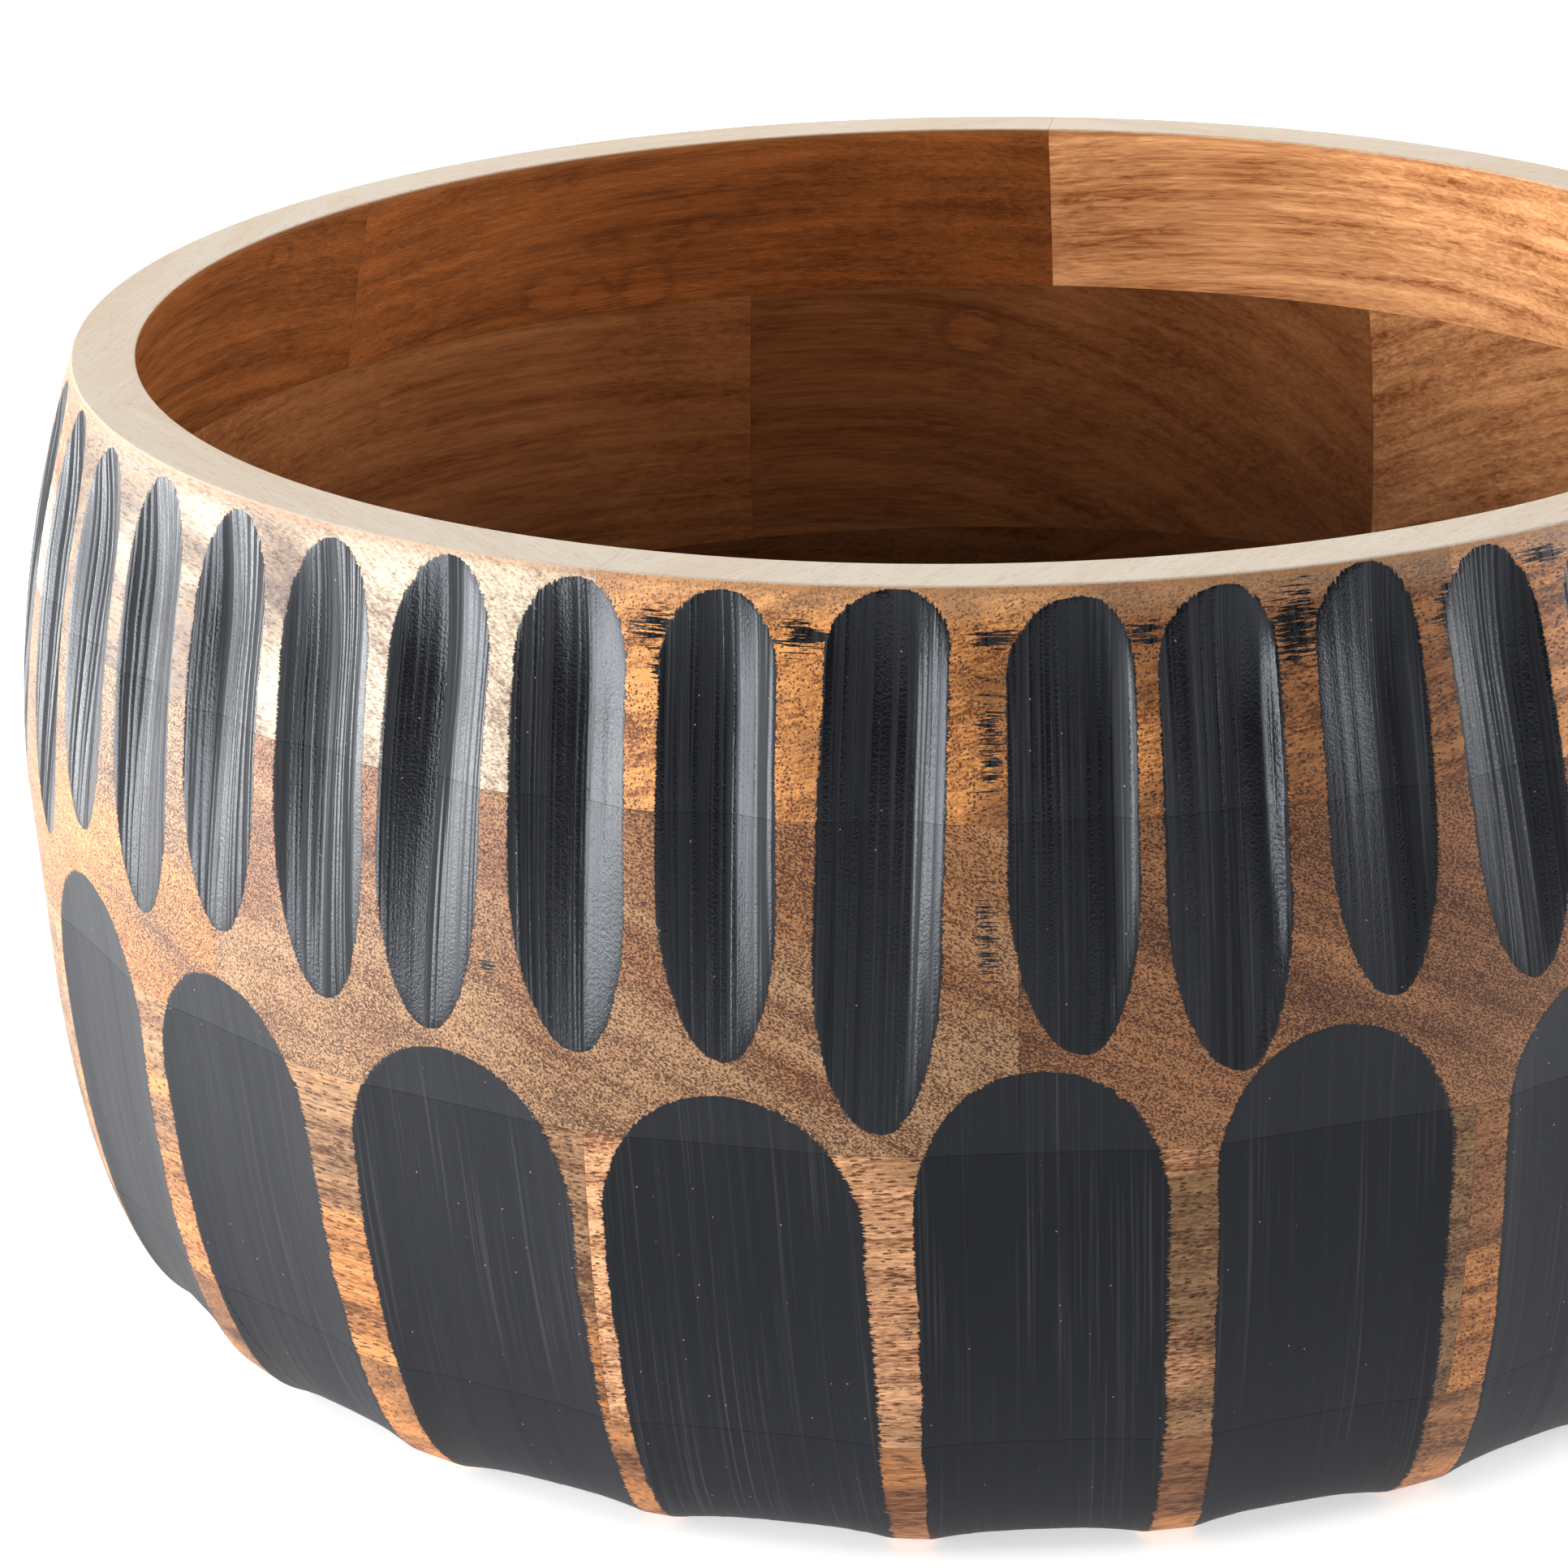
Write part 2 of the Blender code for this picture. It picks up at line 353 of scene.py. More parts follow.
@dataclass(frozen=True)
class CutRow:
    """A row of gouge cuts, all made with one tool.

    Args:
        name: the row's name.
        half_angle: half a cut's width, in radians about the axis.
        depth: depth at the middle.
        lead_in: length over which the tool goes in.
        run_out: length over which it comes out.
        hollow: power of the cross-section, low for a sharp valley and high for a flat floor.
        ridge: height of the tool marks.
        dive: length over which the tool goes down to its full depth.
        rise: length over which it comes up again.
        cuts: the cuts.
    """

    name: str
    half_angle: float
    depth: float
    lead_in: float
    run_out: float
    hollow: float
    ridge: float
    dive: float
    rise: float
    cuts: tuple[Cut, ...]

    def layout(self) -> bpy.types.Object:
        """One point for each cut, on a unit circle, that the carving tree looks up.

        Returns:
            The object that holds the points.
        """
        turns = np.radians([cut.azimuth for cut in self.cuts])
        points = np.column_stack([np.sin(turns), -np.cos(turns), np.zeros(len(turns))])
        mesh = bpy.data.meshes.new(f"{self.name}_layout")
        mesh.vertices.add(len(points))
        mesh.vertices.foreach_set("co", points.ravel())
        store(mesh, "span", [(cut.top, cut.bottom, cut.seed) for cut in self.cuts])
        store(mesh, "form", [(cut.lean, cut.width, cut.valley) for cut in self.cuts])
        store(mesh, "ends", [(cut.tip, 1.0, 0.0) for cut in self.cuts])
        layout = bpy.data.objects.new(mesh.name, mesh)
        bpy.context.scene.collection.objects.link(layout)
        return layout


@dataclass(frozen=True)
class Stroke:
    """How one cut was made: what sets it apart from an even row.

    Args:
        top: drop below the rim where the tool goes in, in millimetres.
        bottom: drop where it comes out, in millimetres.
        nudge: how far it sits from its even place, in degrees.
        lean: how far it turns on its way down, in radians a metre.
        width: its share of the row's width.
        valley: where its deepest line lies, from -1 at the left edge to 1 at the right.
        tip: its share of the row's lead-in, small for a blunt top.
    """

    top: float
    bottom: float = 0.0
    nudge: float = 0.0
    lean: float = 0.0
    width: float = 1.0
    valley: float = 0.0
    tip: float = 1.0


NARROW_STROKES = {
    -1: Stroke(1.1, 65.5, nudge=0.9, lean=-0.60, width=0.88, valley=-0.20),
    0: Stroke(2.1, 58.5, nudge=0.2, lean=-0.60, width=0.93, valley=-0.20),
    1: Stroke(1.6, 65.0, nudge=0.1, lean=-0.50, width=0.92, valley=-0.25),
    2: Stroke(1.8, 62.0, nudge=-0.1, lean=-0.40, width=0.94, valley=-0.20),
    3: Stroke(1.8, 66.5, nudge=-0.1, lean=-0.40, width=0.96, valley=-0.10),
    4: Stroke(0.9, 67.0, nudge=-0.6, lean=-0.05, width=0.97, valley=0.00),
    5: Stroke(1.3, 66.5, nudge=-0.4, lean=-0.25, width=0.99, valley=0.22, tip=0.80),
    6: Stroke(1.2, 65.5, nudge=-0.2, lean=-0.15, width=0.96, valley=0.20, tip=0.72),
    7: Stroke(0.4, 75.0, nudge=0.3, lean=0.20, width=0.99, valley=0.45, tip=0.55),
    8: Stroke(1.6, 63.5, nudge=-0.2, lean=0.05, width=1.02, valley=0.65, tip=0.72),
    9: Stroke(1.3, 67.5, nudge=-0.2, lean=0.00, width=0.99, valley=0.70, tip=0.72),
    10: Stroke(0.4, 59.5, nudge=0.3, lean=-0.05, width=0.92, valley=0.50, tip=0.72),
    11: Stroke(0.8, 61.0, nudge=0.4, lean=-0.35, width=0.90, valley=0.30, tip=0.80),
}
WIDE_STROKES = {
    0: Stroke(66.0, nudge=0.3, width=0.97),
    1: Stroke(69.5, lean=-0.35, width=0.99),
    2: Stroke(69.5, nudge=0.5, lean=-0.30, width=1.04),
    3: Stroke(70.5, lean=-0.20, width=1.07),
    4: Stroke(65.5, lean=-0.10),
    5: Stroke(62.5, nudge=-0.3, lean=-0.15),
    6: Stroke(61.5, nudge=0.2, lean=-0.20),
}


@dataclass(frozen=True)
class CutPlan:
    """Where the two rows of cuts go. The strokes seen in the photo are listed, others are dealt."""

    wide_cuts: int = 22
    wide_land: float = 0.0080
    wide_azimuth: float = -61.6
    narrow_land: float = 0.0039
    narrow_azimuth: float = -62.2
    wide_step_cut: int = 8
    wide_step: float = 2.4
    seed: int = 7

    def wide_row(self, shape: BowlShape, wall: Wall) -> CutRow:
        """The wide cuts, from the belly to the foot.

        Args:
            shape: the turned bowl.
            wall: its outer wall.

        Returns:
            The row.
        """
        dice = random.Random(self.seed)
        cuts = []
        for index in range(self.wide_cuts):
            dealt = Stroke(
                top=dice.uniform(62.0, 70.0),
                nudge=dice.uniform(-0.3, 0.3),
                lean=dice.uniform(-0.3, 0.1),
                width=dice.uniform(0.98, 1.04),
                valley=dice.uniform(-0.15, 0.15),
            )
            stroke = WIDE_STROKES.get(index, dealt)
            even = self.wide_azimuth + 360.0 * index / self.wide_cuts
            bottom = float(wall.length[-1]) + 6.0 * MM
            cuts.append(Cut.made(stroke, even, wall, bottom, dice.uniform(0.0, 40.0)))
        return CutRow(
            "wide_cut",
            math.pi / self.wide_cuts - 0.5 * self.wide_land / shape.belly_radius,
            depth=1.5 * MM,
            lead_in=21.0 * MM,
            run_out=14.0 * MM,
            hollow=2.6,
            ridge=0.08 * MM,
            dive=24.0 * MM,
            rise=16.0 * MM,
            cuts=tuple(cuts),
        )

    def narrow_row(self, shape: BowlShape, wall: Wall) -> CutRow:
        """The narrow cuts, two to each wide one, in the upper half.

        Args:
            shape: the turned bowl.
            wall: its outer wall.

        Returns:
            The row.
        """
        dice = random.Random(self.seed + 1)
        count = 2 * self.wide_cuts
        cuts = []
        for index in range(count):
            dealt = Stroke(
                top=dice.uniform(0.6, 2.0),
                bottom=dice.uniform(62.0, 68.0) if index % 2 else dice.uniform(58.0, 64.0),
                nudge=dice.uniform(-0.4, 0.4),
                lean=dice.uniform(-0.4, 0.2),
                width=dice.uniform(0.92, 1.0),
                valley=dice.uniform(-0.1, 0.5),
                tip=dice.uniform(0.6, 0.9),
            )
            stroke = NARROW_STROKES.get(index, NARROW_STROKES.get(index - count, dealt))
            even = self.narrow_azimuth + 360.0 * index / count
            if index >= self.wide_step_cut:
                even += self.wide_step * (count - index) / (count - self.wide_step_cut)
            bottom = wall.length_at(stroke.bottom * MM)
            cuts.append(Cut.made(stroke, even, wall, bottom, dice.uniform(0.0, 40.0)))
        return CutRow(
            "narrow_cut",
            math.pi / count - 0.5 * self.narrow_land / shape.belly_radius,
            depth=3.2 * MM,
            lead_in=15.0 * MM,
            run_out=26.0 * MM,
            hollow=1.25,
            ridge=0.24 * MM,
            dive=20.0 * MM,
            rise=45.0 * MM,
            cuts=tuple(cuts),
        )


def store(mesh: bpy.types.Mesh, name: str, values: list | np.ndarray) -> None:
    """Stores one value or vector for each point of a mesh.

    Args:
        mesh: the mesh.
        name: the attribute's name.
        values: numbers, or rows of three.
    """
    data = np.asarray(values, np.float32)
    kind, key = ("FLOAT_VECTOR", "vector") if data.ndim == 2 else ("FLOAT", "value")
    attribute = mesh.attributes.new(name, kind, "POINT")
    attribute.data.foreach_set(key, data.ravel())


@dataclass(frozen=True)
class Term:
    """A socket in a formula. Arithmetic on it adds Math nodes."""

    graph: Graph
    socket: bpy.types.NodeSocket

    def __add__(self, other: Value) -> Term:
        """The sum of the two."""
        return self.graph.math("ADD", self, other)

    def __radd__(self, other: Value) -> Term:
        """The sum, with the number first."""
        return self.graph.math("ADD", other, self)

    def __sub__(self, other: Value) -> Term:
        """The difference of the two."""
        return self.graph.math("SUBTRACT", self, other)

    def __rsub__(self, other: Value) -> Term:
        """The difference, with the number first."""
        return self.graph.math("SUBTRACT", other, self)

    def __mul__(self, other: Value) -> Term:
        """The product of the two."""
        return self.graph.math("MULTIPLY", self, other)

    def __rmul__(self, other: Value) -> Term:
        """The product, with the number first."""
        return self.graph.math("MULTIPLY", other, self)

    def __truediv__(self, other: Value) -> Term:
        """The first divided by the second."""
        return self.graph.math("DIVIDE", self, other)


Value = Term | float | int | tuple


class Graph:
    """Adds nodes to a node tree, so that a formula reads as one."""

    def __init__(self, tree: bpy.types.NodeTree) -> None:
        """Takes the tree to add to."""
        self.tree = tree

    def feed(self, socket: bpy.types.NodeSocket, value: Value) -> None:
        """Links a term to a socket, or sets the socket's own value."""
        if isinstance(value, Term):
            self.tree.links.new(value.socket, socket)
        else:
            socket.default_value = value

    def node(self, kind: str, **settings: object) -> bpy.types.Node:
        """Adds a node with its settings.

        Args:
            kind: the node's type.
            settings: its properties, by name.

        Returns:
            The node.
        """
        made = self.tree.nodes.new(kind)
        for name, value in settings.items():
            setattr(made, name, value)
        return made

    def math(self, operation: str, first: Value, second: Value = 0.0) -> Term:
        """One Math node.

        Args:
            operation: the node's operation.
            first: its first number.
            second: its second number.

        Returns:
            The result.
        """
        node = self.node("ShaderNodeMath", operation=operation)
        self.feed(node.inputs[0], first)
        self.feed(node.inputs[1], second)
        return Term(self, node.outputs[0])

    def vector(self, operation: str, first: Value, second: Value | None = None) -> Term:
        """One Vector Math node with a vector result.

        Args:
            operation: the node's operation.
            first: its vector.
            second: its second vector, or the factor of a scale.

        Returns:
            The result.
        """
        node = self.node("ShaderNodeVectorMath", operation=operation)
        self.feed(node.inputs[0], first)
        if second is not None:
            key = "Scale" if operation == "SCALE" else 1
            self.feed(node.inputs[key], second)
        return Term(self, node.outputs[0])

    def join(self, x: Value, y: Value, z: Value) -> Term:
        """A vector from three numbers.

        Args:
            x: its first part.
            y: its second part.
            z: its third part.

        Returns:
            The vector.
        """
        node = self.node("ShaderNodeCombineXYZ")
        for socket, value in zip(node.inputs, (x, y, z)):
            self.feed(socket, value)
        return Term(self, node.outputs[0])

    def split(self, vector: Term) -> tuple[Term, Term, Term]:
        """The three numbers of a vector.

        Args:
            vector: the vector to part.

        Returns:
            Its three parts.
        """
        node = self.node("ShaderNodeSeparateXYZ")
        self.feed(node.inputs[0], vector)
        return tuple(Term(self, socket) for socket in node.outputs)

    def ramp(self, value: Value, low: float, high: float) -> Term:
        """A smooth step from 0 at low to 1 at high, which may be the lesser.

        Args:
            value: the number to step.
            low: where the step is 0.
            high: where the step is 1.

        Returns:
            A number from 0 to 1.
        """
        node = self.node("ShaderNodeMapRange", interpolation_type="SMOOTHSTEP", clamp=True)
        self.feed(node.inputs["Value"], value)
        if low < high:
            self.feed(node.inputs["From Min"], low)
            self.feed(node.inputs["From Max"], high)
            return Term(self, node.outputs["Result"])
        self.feed(node.inputs["From Min"], high)
        self.feed(node.inputs["From Max"], low)
        return 1.0 - Term(self, node.outputs["Result"])

    def blend(self, share: Value, first: Value, second: Value) -> Term:
        """A mix of two numbers.

        Args:
            share: 0 gives the first and 1 the second.
            first: a number.
            second: a number.

        Returns:
            The mix.
        """
        node = self.node("ShaderNodeMix", data_type="FLOAT")
        self.feed(node.inputs[0], share)
        self.feed(node.inputs[2], first)
        self.feed(node.inputs[3], second)
        return Term(self, node.outputs[0])

    def noise(self, place: Term, detail: float = 2.0, warp: float = 0.0) -> Term:
        """Noise from 0 to 1, one cell a unit.

        Args:
            place: where it is read.
            detail: how many finer layers it has.
            warp: how wavy it is.

        Returns:
            The noise.
        """
        node = self.node("ShaderNodeTexNoise", noise_dimensions="3D")
        self.feed(node.inputs["Vector"], place)
        self.feed(node.inputs["Scale"], 1.0)
        self.feed(node.inputs["Detail"], detail)
        self.feed(node.inputs["Roughness"], 0.55)
        self.feed(node.inputs["Distortion"], warp)
        return Term(self, node.outputs["Fac"])

    def shake(self, place: Term, scale: float) -> Term:
        """A random vector about 0 that changes from place to place.

        Args:
            place: where it is read.
            scale: cells in a unit.

        Returns:
            The vector.
        """
        node = self.node("ShaderNodeTexNoise", noise_dimensions="3D")
        self.feed(node.inputs["Vector"], place)
        self.feed(node.inputs["Scale"], scale)
        self.feed(node.inputs["Detail"], 1.0)
        return self.vector("SUBTRACT", Term(self, node.outputs["Color"]), (0.5, 0.5, 0.5))

    def cells(self, place: Term) -> tuple[Term, Term]:
        """Scattered points, one a unit: how far the nearest lies, and a number of its own.

        Args:
            place: where it is read.

        Returns:
            The distance and the number.
        """
        node = self.node("ShaderNodeTexVoronoi", voronoi_dimensions="3D", feature="F1")
        self.feed(node.inputs["Vector"], place)
        self.feed(node.inputs["Scale"], 1.0)
        apart = self.node("ShaderNodeSeparateColor")
        self.tree.links.new(node.outputs["Color"], apart.inputs[0])
        return Term(self, node.outputs["Distance"]), Term(self, apart.outputs[0])


class GeometryGraph(Graph):
    """A geometry tree with named inputs and outputs."""

    def __init__(self, name: str) -> None:
        """Makes the tree and its two end nodes.

        Args:
            name: the tree's name.
        """
        super().__init__(bpy.data.node_groups.new(name, "GeometryNodeTree"))
        self.start = self.node("NodeGroupInput")
        self.end = self.node("NodeGroupOutput")

    def take(self, name: str, kind: str = "Float") -> Term:
        """Adds a named input."""
        item = self.tree.interface.new_socket(
            name, in_out="INPUT", socket_type=f"NodeSocket{kind}"
        )
        return Term(self, next(s for s in self.start.outputs if s.identifier == item.identifier))

    def give(self, name: str, value: Term, kind: str = "Float") -> None:
        """Adds a named output."""
        item = self.tree.interface.new_socket(
            name, in_out="OUTPUT", socket_type=f"NodeSocket{kind}"
        )
        self.feed(next(s for s in self.end.inputs if s.identifier == item.identifier), value)

    def named(self, name: str, kind: str = "FLOAT") -> Term:
        """A stored attribute.

        Args:
            name: the attribute's name.
            kind: its data type.

        Returns:
            Its values.
        """
        node = self.node("GeometryNodeInputNamedAttribute", data_type=kind)
        node.inputs["Name"].default_value = name
        return Term(self, node.outputs["Attribute"])

    def keep(self, geometry: Term, name: str, value: Term) -> Term:
        """Stores a number on every point.

        Args:
            geometry: what to store it on.
            name: the attribute's name.
            value: the number.

        Returns:
            The geometry that carries it.
        """
        node = self.node("GeometryNodeStoreNamedAttribute", data_type="FLOAT", domain="POINT")
        self.feed(node.inputs["Geometry"], geometry)
        node.inputs["Name"].default_value = name
        self.feed(node.inputs["Value"], value)
        return Term(self, node.outputs["Geometry"])


class CarvingTree:
    """The Geometry Nodes that carve both rows of cuts into a block."""

    SIZES = {
        "Half Angle": "half_angle",
        "Depth": "depth",
        "Lead In": "lead_in",
        "Run Out": "run_out",
        "Hollow": "hollow",
        "Ridge Height": "ridge",
        "Dive": "dive",
        "Rise": "rise",
    }
    OUTPUTS = ("Depth", "Edge", "Across", "Along", "Seed")
    FAR_OUT = -50.0

    def __init__(self) -> None:
        """Builds the trees."""
        self.row = self.build_row()
        self.tree = self.build()

    def build_row(self) -> bpy.types.NodeTree:
        """The tree that works out one row: how deep each point lies and where in its cut.

        Returns:
            The tree.
        """
        g = GeometryGraph("gouge_row")
        layout = g.take("Layout", "Object")
        half_angle = g.take("Half Angle")
        depth = g.take("Depth")
        lead_in = g.take("Lead In")
        run_out = g.take("Run Out")
        hollow = g.take("Hollow")
        ridge = g.take("Ridge Height")
        dive = g.take("Dive")
        rise = g.take("Rise")

        info = g.node("GeometryNodeObjectInfo", transform_space="ORIGINAL")
        g.feed(info.inputs["Object"], layout)
        points = Term(g, info.outputs["Geometry"])
        position = Term(g, g.node("GeometryNodeInputPosition").outputs[0])
        x, y, _ = g.split(position)
        flat = g.vector("NORMALIZE", g.join(x, y, 0.0))
        radius = g.math("SQRT", x * x + y * y)

        nearest = g.node("GeometryNodeSampleNearest", domain="POINT")
        g.feed(nearest.inputs["Geometry"], points)
        g.feed(nearest.inputs["Sample Position"], flat)
        index = Term(g, nearest.outputs[0])

        def look_up(value: Term) -> tuple[Term, Term, Term]:
            """Reads a vector of the nearest cut.

            Args:
                value: the vector to read.

            Returns:
                Its three parts.
            """
            node = g.node("GeometryNodeSampleIndex", data_type="FLOAT_VECTOR", domain="POINT")
            g.feed(node.inputs["Geometry"], points)
            g.feed(node.inputs["Value"], value)
            g.feed(node.inputs["Index"], index)
            return g.split(Term(g, node.outputs[0]))

        middle_x, middle_y, _ = look_up(position)
        top, bottom, seed = look_up(g.named("span", "FLOAT_VECTOR"))
        lean, width, valley = look_up(g.named("form", "FLOAT_VECTOR"))
        tip, _, _ = look_up(g.named("ends", "FLOAT_VECTOR"))
        down = g.named("down")

        unit_x, unit_y, _ = g.split(flat)
        turn = g.math(
            "ARCTAN2",
            middle_x * unit_y - middle_y * unit_x,
            middle_x * unit_x + middle_y * unit_y,
        )
        half = half_angle * width
        wander = g.noise(g.join(down * 90.0, seed, turn * 8.0)) - 0.5
        straight = (turn + lean * (down - 0.5 * (top + bottom))) / half
        across = straight + 0.08 * wander

        def swell(into: Term, out: Term) -> Term:
            """Rises from 0 to 1 over one length and falls again over another.

            Args:
                into: the length of the rise.
                out: the length of the fall.

            Returns:
                A number up to 1.
            """
            short_in = 1.0 - g.math("MINIMUM", (down - top) / into, 1.0)
            short_out = 1.0 - g.math("MINIMUM", (bottom - down) / out, 1.0)
            return 1.0 - short_in * short_in - short_out * short_out

        body = swell(lead_in * tip, run_out)
        reach = g.math("SIGN", body) * g.math("SQRT", g.math("ABSOLUTE", body))
        middle = 0.3 * valley
        left = middle - reach * (1.0 + middle)
        right = middle + reach * (1.0 - middle)
        deepest = middle + (valley - middle) * reach
        to_right = g.math("GREATER_THAN", across, deepest)
        room = g.blend(to_right, deepest - left, right - deepest)
        share = g.math("ABSOLUTE", across - deepest) / g.math("MAXIMUM", room, 0.02)
        bowl = g.math("MAXIMUM", 1.0 - g.math("POWER", share, hollow), 0.0)
        sunk = g.math("MAXIMUM", swell(dive, rise), 0.0) * bowl
        edge = g.math("MINIMUM", right - across, across - left) * half * radius * PER_MM

        along = (down - top) * PER_MM
        wide_mm = straight * half * radius * PER_MM
        coarse = g.noise(g.join(wide_mm * 0.34, along * 0.008, seed), 1.0) - 0.5
        fine = g.noise(g.join(wide_mm * 0.62, along * 0.010, seed + 9.0), 1.0) - 0.5
        crease = g.math("ABSOLUTE", fine)
        marks = ridge * (1.2 * coarse - 2.0 * crease) * g.ramp(edge, 0.0, 1.2)

        g.give("Depth", depth * sunk + marks)
        g.give("Edge", edge)
        g.give("Across", wide_mm)
        g.give("Along", along)
        g.give("Seed", seed)
        return g.tree

    def build(self) -> bpy.types.NodeTree:
        """The tree that carves: the deeper row wins, and the paint reads what it stores.

        Returns:
            The tree.
        """
        g = GeometryGraph("gouge_carving")
        geometry = g.take("Geometry", "Geometry")
        rows = {}
        for name in ("Narrow", "Wide"):
            node = g.node("GeometryNodeGroup", node_tree=self.row)
            g.feed(node.inputs["Layout"], g.take(f"{name} Layout", "Object"))
            for key in self.SIZES:
                g.feed(node.inputs[key], g.take(f"{name} {key}"))
            rows[name] = {key: Term(g, node.outputs[key]) for key in self.OUTPUTS}
        material = g.take("Material", "Material")

        narrow, wide = rows["Narrow"], rows["Wide"]
        in_wide = g.math("GREATER_THAN", wide["Edge"], narrow["Edge"])
        found = {key: g.blend(in_wide, narrow[key], wide[key]) for key in self.OUTPUTS}
        wall = g.named("wall")
        sink = g.math("MAXIMUM", found["Depth"], 0.0) * wall
        outward = g.named("outward", "FLOAT_VECTOR")

        move = g.node("GeometryNodeSetPosition")
        g.feed(move.inputs["Geometry"], geometry)
        g.feed(move.inputs["Offset"], g.vector("SCALE", outward, 0.0 - sink))
        shape = Term(g, move.outputs["Geometry"])
        shape = g.keep(shape, "cut_edge", g.blend(wall, self.FAR_OUT, found["Edge"]))
        shape = g.keep(shape, "cut_across", found["Across"])
        shape = g.keep(shape, "cut_along", found["Along"])
        shape = g.keep(shape, "cut_seed", found["Seed"])
        shape = g.keep(shape, "cut_wide", in_wide)
        realize = g.node("GeometryNodeRealizeInstances")
        g.feed(realize.inputs["Geometry"], shape)
        dress = g.node("GeometryNodeSetMaterial")
        g.feed(dress.inputs["Geometry"], Term(g, realize.outputs["Geometry"]))
        g.feed(dress.inputs["Material"], material)
        g.give("Geometry", Term(g, dress.outputs["Geometry"]), "Geometry")
        return g.tree

    def carve(
        self,
        piece: bpy.types.Object,
        rows: dict[str, tuple[CutRow, bpy.types.Object]],
        material: bpy.types.Material,
    ) -> None:
        """Carves a piece and leaves it a plain mesh.

        Args:
            piece: the piece, with its wall's attributes.
            rows: each row of cuts and its layout, by name.
            material: the finish.
        """
        modifier = piece.modifiers.new("carving", "NODES")
        modifier.node_group = self.tree
        given: dict[str, object] = {"Material": material}
        for name, (row, layout) in rows.items():
            given[f"{name} Layout"] = layout
            for key, size in self.SIZES.items():
                given[f"{name} {key}"] = getattr(row, size)
        for item in self.tree.interface.items_tree:
            if item.in_out == "INPUT" and item.name in given:
                modifier[item.identifier] = given[item.name]
        graph = bpy.context.evaluated_depsgraph_get()
        carved = bpy.data.meshes.new_from_object(piece.evaluated_get(graph))
        piece.modifiers.remove(modifier)
        plain = piece.data
        piece.data = carved
        bpy.data.meshes.remove(plain)
        carved.name = piece.name
        for name in ("wall", "down", "outward"):
            carved.attributes.remove(carved.attributes[name])


@dataclass(frozen=True)
class WoodFinish:
    """The finish of one layer of blocks.

    Args:
        name: the record's material slot.
        bands: how strong the growth rings are.
        lines: how strong the long fibres are.
        flecks: how strong the short flecks are.
        pores: how dark the pores are.
        roughness: of the oiled outside.
        fleck: length and width of a fleck, in millimetres.
        pore: room that a pore takes along and across the grain, in millimetres.
        crowd: the share of that room that is filled.
        gloss: how much light the surface mirrors.
        oil: the colour of the oiled inside, in linear light.
    """

    name: str
    bands: float
    lines: float
    flecks: float
    pores: float
    roughness: float
    fleck: tuple[float, float]
    pore: tuple[float, float]
    crowd: float
    gloss: float
    oil: tuple[float, float, float] = (0.48, 0.195, 0.064)


class Finishes(Enum):
    """One finish for each layer."""

    TOP = WoodFinish(
        name="top_ring_wood",
        bands=2.2,
        lines=1.6,
        flecks=1.8,
        pores=0.95,
        roughness=0.42,
        fleck=(1.4, 0.28),
        pore=(3.2, 0.43),
        crowd=0.72,
        gloss=0.48,
        oil=(0.54, 0.175, 0.042),
    )
    MIDDLE = WoodFinish(
        name="middle_ring_wood",
        bands=1.2,
        lines=0.9,
        flecks=5.2,
        pores=0.92,
        roughness=0.46,
        fleck=(0.40, 0.25),
        pore=(0.66, 0.31),
        crowd=0.74,
        gloss=0.40,
    )
    LOWER = WoodFinish(
        name="lower_ring_wood",
        bands=1.7,
        lines=1.5,
        flecks=1.9,
        pores=0.90,
        roughness=0.46,
        fleck=(1.5, 0.30),
        pore=(2.6, 0.43),
        crowd=0.68,
        gloss=0.30,
    )
    BASE = WoodFinish(
        name="base_wood",
        bands=1.7,
        lines=1.4,
        flecks=1.4,
        pores=0.70,
        roughness=0.48,
        fleck=(2.5, 0.35),
        pore=(5.0, 0.55),
        crowd=0.50,
        gloss=0.28,
    )


@dataclass(frozen=True)
class Patch:
    """A patch of the wall that looks different: dragged paint, or a knot in the wood.

    Args:
        azimuth: its middle, in degrees.
        drop: its middle below the rim, in millimetres.
        reach: how far it spreads sideways, in millimetres.
        tall: how far it spreads up and down, in millimetres.
        thick: how thick it is in its middle, from 0 to 1.
    """

    azimuth: float
    drop: float
    reach: float
    tall: float
    thick: float = 1.0

    def strength(self, points: np.ndarray, rim: float) -> np.ndarray:
        """How thick the patch is at each point, from 0 to 1.

        Args:
            points: the points, one a row.
            rim: the height of the rim.

        Returns:
            One number for each point.
        """
        turn = np.arctan2(points[:, 0], -points[:, 1]) - math.radians(self.azimuth)
        turn = (turn + math.pi) % (2.0 * math.pi) - math.pi
        aside = np.hypot(points[:, 0], points[:, 1]) * turn / (self.reach * MM)
        off = (rim - points[:, 2] - self.drop * MM) / (self.tall * MM)
        return self.thick * np.exp(-aside * aside - off * off)


FRONT_SMEARS = (
    Patch(-9.0, 6.6, 5.0, 2.4),
    Patch(-17.0, 7.0, 4.0, 3.0),
    Patch(-16.4, 12.0, 2.4, 2.6),
    Patch(1.4, 6.6, 3.4, 1.6),
    Patch(1.2, 20.0, 2.2, 9.0, 0.80),
    Patch(9.6, 6.8, 3.0, 1.8),
    Patch(18.0, 8.0, 4.0, 6.0),
    Patch(27.3, 8.5, 2.4, 5.0),
    Patch(34.0, 3.5, 4.0, 1.6),
    Patch(-26.1, 55.8, 1.7, 0.9),
    Patch(0.9, 47.0, 1.8, 8.0, 0.70),
)


